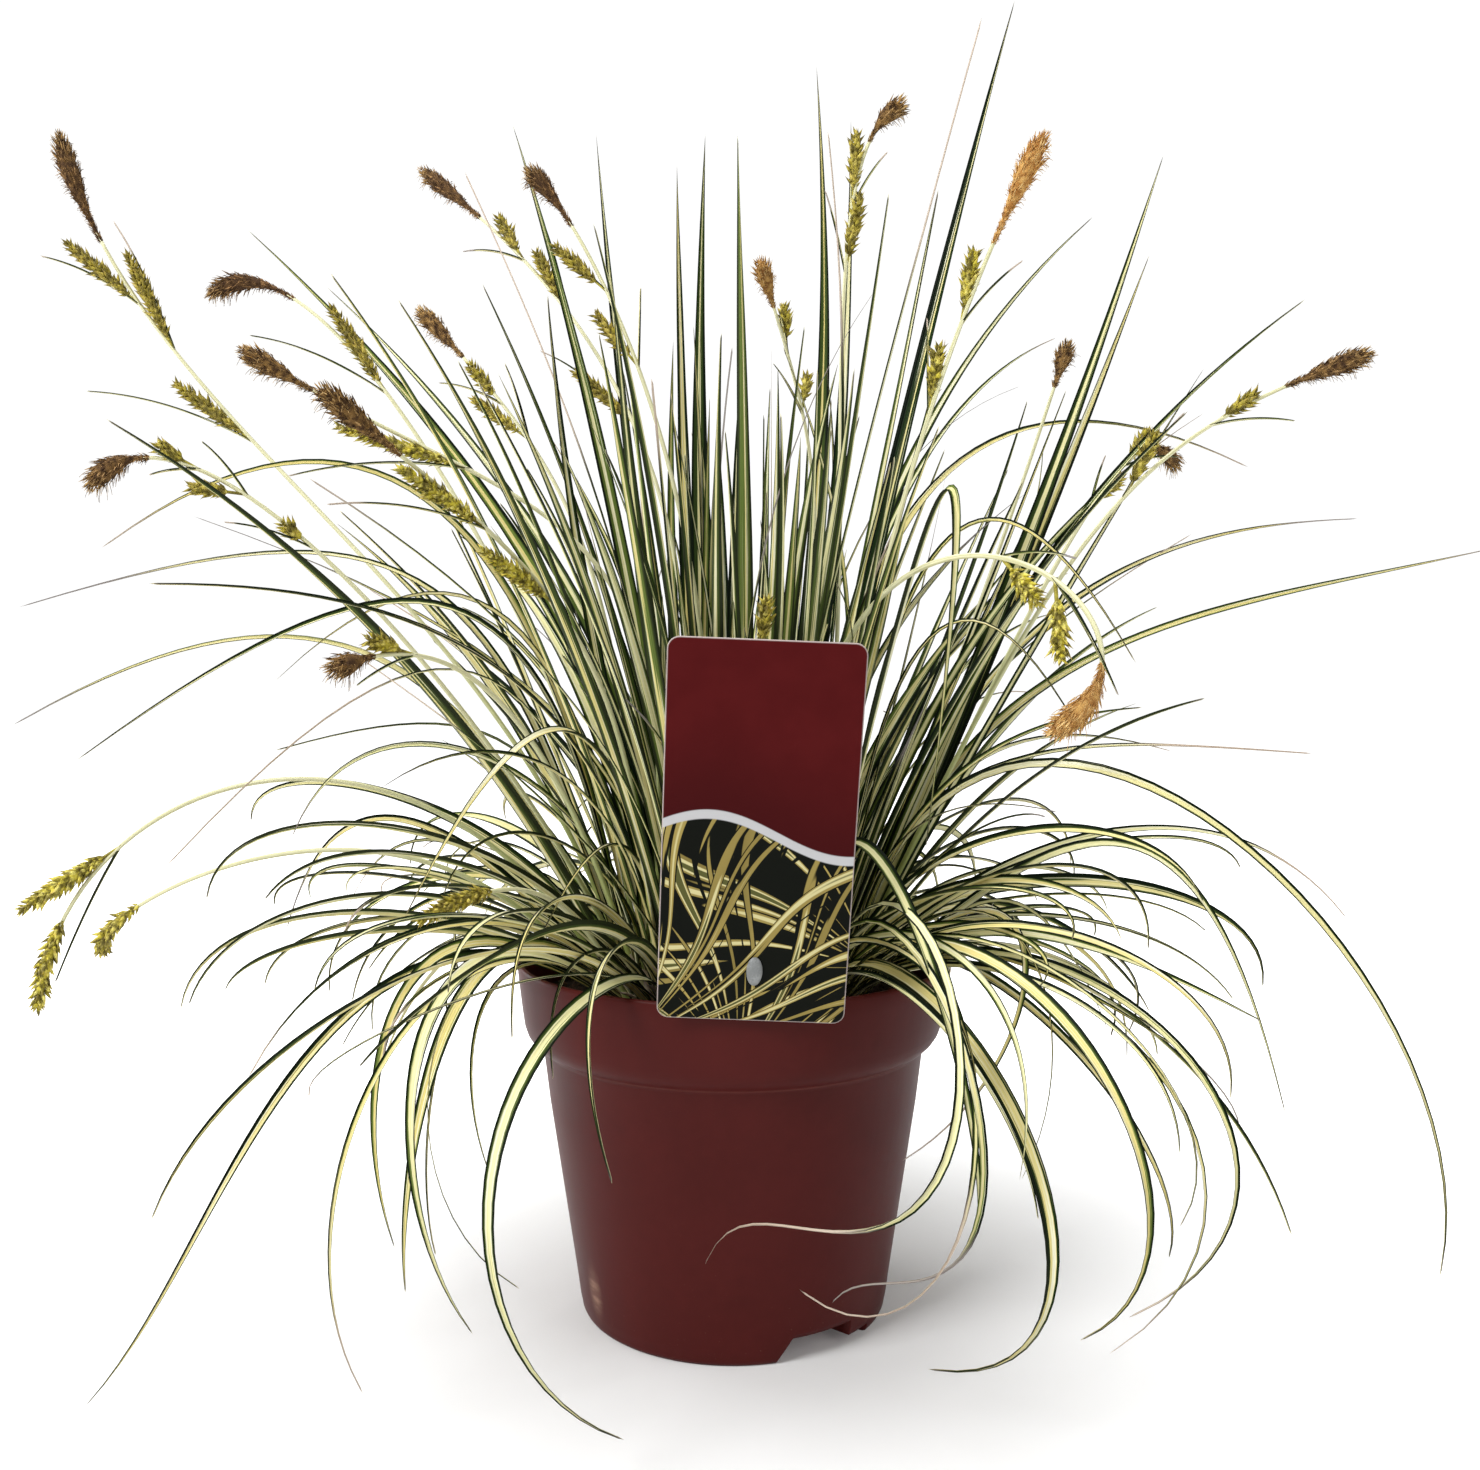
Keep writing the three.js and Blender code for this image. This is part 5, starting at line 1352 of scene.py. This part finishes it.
def card_finish():
    """A plain printed card: a deep red field over a dark one, parted by a silver wave.

    In the dark field are fans of cream and gold rays. The back and the cut edge are pale.
    """
    made, nodes, shader = finish("printed card", Roughness=0.5, Specular_IOR_Level=0.07)
    across, up = nodes.map()
    wave = nodes.times(nodes.math("SINE", nodes.line(across, 4.4, 0.5)), 0.055)
    over = nodes.minus(up, nodes.math("ADD", wave, 0.5))
    grain = nodes.noise(nodes.join(across, nodes.times(up, 2.0)), 5.0)
    red = nodes.mix(nodes.step(grain, 0.3, 0.7), (0.078, 0.0040, 0.0048), (0.088, 0.0052, 0.006))
    red = nodes.mix(nodes.step(over, 0.30, 0.0), red, (0.054, 0.0027, 0.0035))
    field = DARK_FIELD
    for fan in CARD_FANS:
        field = ray_fan(nodes, across, up, field, **fan)
    front = nodes.mix(nodes.step(over, -0.004, 0.004), field, red)
    band = nodes.times(nodes.step(over, -0.014, -0.010), nodes.step(over, 0.014, 0.010))
    front = nodes.mix(band, front, (0.55, 0.55, 0.56))
    colour = nodes.mix(nodes.tone("edge"), front, (0.52, 0.44, 0.42))
    colour = nodes.mix(nodes.tone("back"), colour, (0.70, 0.68, 0.63))
    relief = nodes.bump(nodes.noise(nodes.place(), 1200.0), 0.05, 0.00005)
    nodes.wire(shader, Base_Color=colour, Normal=relief)
    return made


def stake_finish():
    """Grey moulded plastic, a little scuffed."""
    made, nodes, shader = finish("grey moulded plastic", Roughness=0.42, Specular_IOR_Level=0.5)
    mottle = nodes.mottle(120.0, 0.5)
    colour = nodes.mix(nodes.step(mottle, 0.3, 0.7), (0.20, 0.21, 0.21), (0.32, 0.33, 0.33))
    rough = nodes.line(mottle, 0.2, 0.32)
    nodes.wire(shader, Base_Color=colour, Roughness=rough, Normal=nodes.bump(mottle, 0.1, 0.0002))
    return made


# ---- the part

FINISHES = dict(leaf=leaf_finish(), stem=stem_finish(), ear=ear_finish(), male=male_finish())
stems = [flower_stem(*row) for row in STEMS]
tufts = grow_tufts(stems)

piece("moulded_pot", [pot_surface()], pot_finish(), ["pot"])
piece("soil_top", [soil_surface()], soil_finish("potting soil", (0.10, 0.055, 0.03)), ["potting_soil"])
piece("soil_crumbs", [soil_crumbs()], soil_finish("bark crumbs", (0.16, 0.09, 0.05)), ["potting_soil"])
piece("printed_card", [card_surface()], card_finish(), ["picture_card"])
piece("grey_stake", stake_surfaces(), stake_finish(), ["card_stake"])
for number, tuft in enumerate(tufts, 1):
    leaf_tuft(number, tuft, FINISHES["leaf"])
for number, stem in enumerate(stems, 1):
    flowering_stem(number, stem, FINISHES)


# ---- floor, light and camera

FLOOR = dict(half=6.0, shadow=0.07, white=0.45, least=0.06, rise=0.95)
SKY = dict(light=0.16, seen=1.05)
# name, place and target in metres, side of the square in metres, power in watts
LIGHTS = [
    ("key from the left", (-1.3, -1.1, 1.5), (0, 0, 0.25), 0.9, 41),
    ("fill from the right", (1.6, -1.0, 1.1), (0, 0, 0.2), 1.3, 13),
    ("edge from behind left", (-1.3, 0.9, 0.5), (0, 0, 0.2), 1.0, 9),
    ("overhead", (0, 0.3, 2.2), (0, 0, 0), 1.5, 30),
]
VIEW = dict(place=(0.0027, -0.551, 0.252), pitch=0.049, focal=1396, width=1480, sensor=36)


def studio_floor():
    """A wide flat floor, lit from within where the camera sees it away from the pot.

    So it stays white but for a soft shadow.
    """
    mesh = bpy.data.meshes.new("studio_floor")
    half = FLOOR["half"]
    mesh.from_pydata([(-half, -half, 0), (half, -half, 0), (half, half, 0), (-half, half, 0)], [], [(0, 1, 2, 3)])
    made, nodes, shader = finish("white studio floor", Roughness=0.9, Specular_IOR_Level=0.1,
                                 Base_Color=(0.85, 0.85, 0.85, 1), Emission_Color=(1, 1, 1, 1))
    clear = nodes.step(nodes.length(nodes.place()), FLOOR["shadow"], FLOOR["white"])
    glow = nodes.line(clear, FLOOR["rise"], FLOOR["least"])
    seen = nodes.add("ShaderNodeLightPath")
    nodes.wire(shader, Emission_Strength=nodes.times(seen, glow))
    mesh.materials.append(made)
    floor = bpy.data.objects.new("studio_floor", mesh)
    bpy.context.collection.objects.link(floor)


def studio_air():
    """Even light from all sides, behind which the camera sees white."""
    world = bpy.data.worlds.new("studio")
    world.use_nodes = True
    nodes = Nodes(world.node_tree)
    seen = nodes.add("ShaderNodeLightPath")
    strength = nodes.line(seen, SKY["seen"] - SKY["light"], SKY["light"])
    nodes.wire(world.node_tree.nodes["Background"], Color=(1, 1, 1, 1), Strength=strength)
    bpy.context.scene.world = world


def soft_light(name, place, target, size, power):
    """A square area light that faces a point."""
    lamp = bpy.data.lights.new(name, "AREA")
    lamp.shape, lamp.size, lamp.energy = "SQUARE", size, power
    made = bpy.data.objects.new(name, lamp)
    made.location = place
    aim = np.array(target, float) - np.array(place, float)
    level = math.hypot(aim[0], aim[1])
    made.rotation_euler = (math.atan2(level, -aim[2]), 0, math.atan2(-aim[0], aim[1]))
    bpy.context.collection.objects.link(made)


def camera():
    """A camera that looks along +Y, pitched down, with its focal length in pixels of a picture of its width."""
    lens = bpy.data.cameras.new("view")
    lens.sensor_fit, lens.sensor_width = "HORIZONTAL", VIEW["sensor"]
    lens.lens = VIEW["sensor"] * VIEW["focal"] / VIEW["width"]
    lens.clip_start = 0.01
    made = bpy.data.objects.new("view", lens)
    made.location = VIEW["place"]
    made.rotation_euler = (math.pi / 2 - VIEW["pitch"], 0, 0)
    bpy.context.collection.objects.link(made)
    bpy.context.scene.camera = made


studio_floor()
studio_air()
for light in LIGHTS:
    soft_light(*light)
camera()
bpy.context.scene.view_settings.view_transform = "Standard"
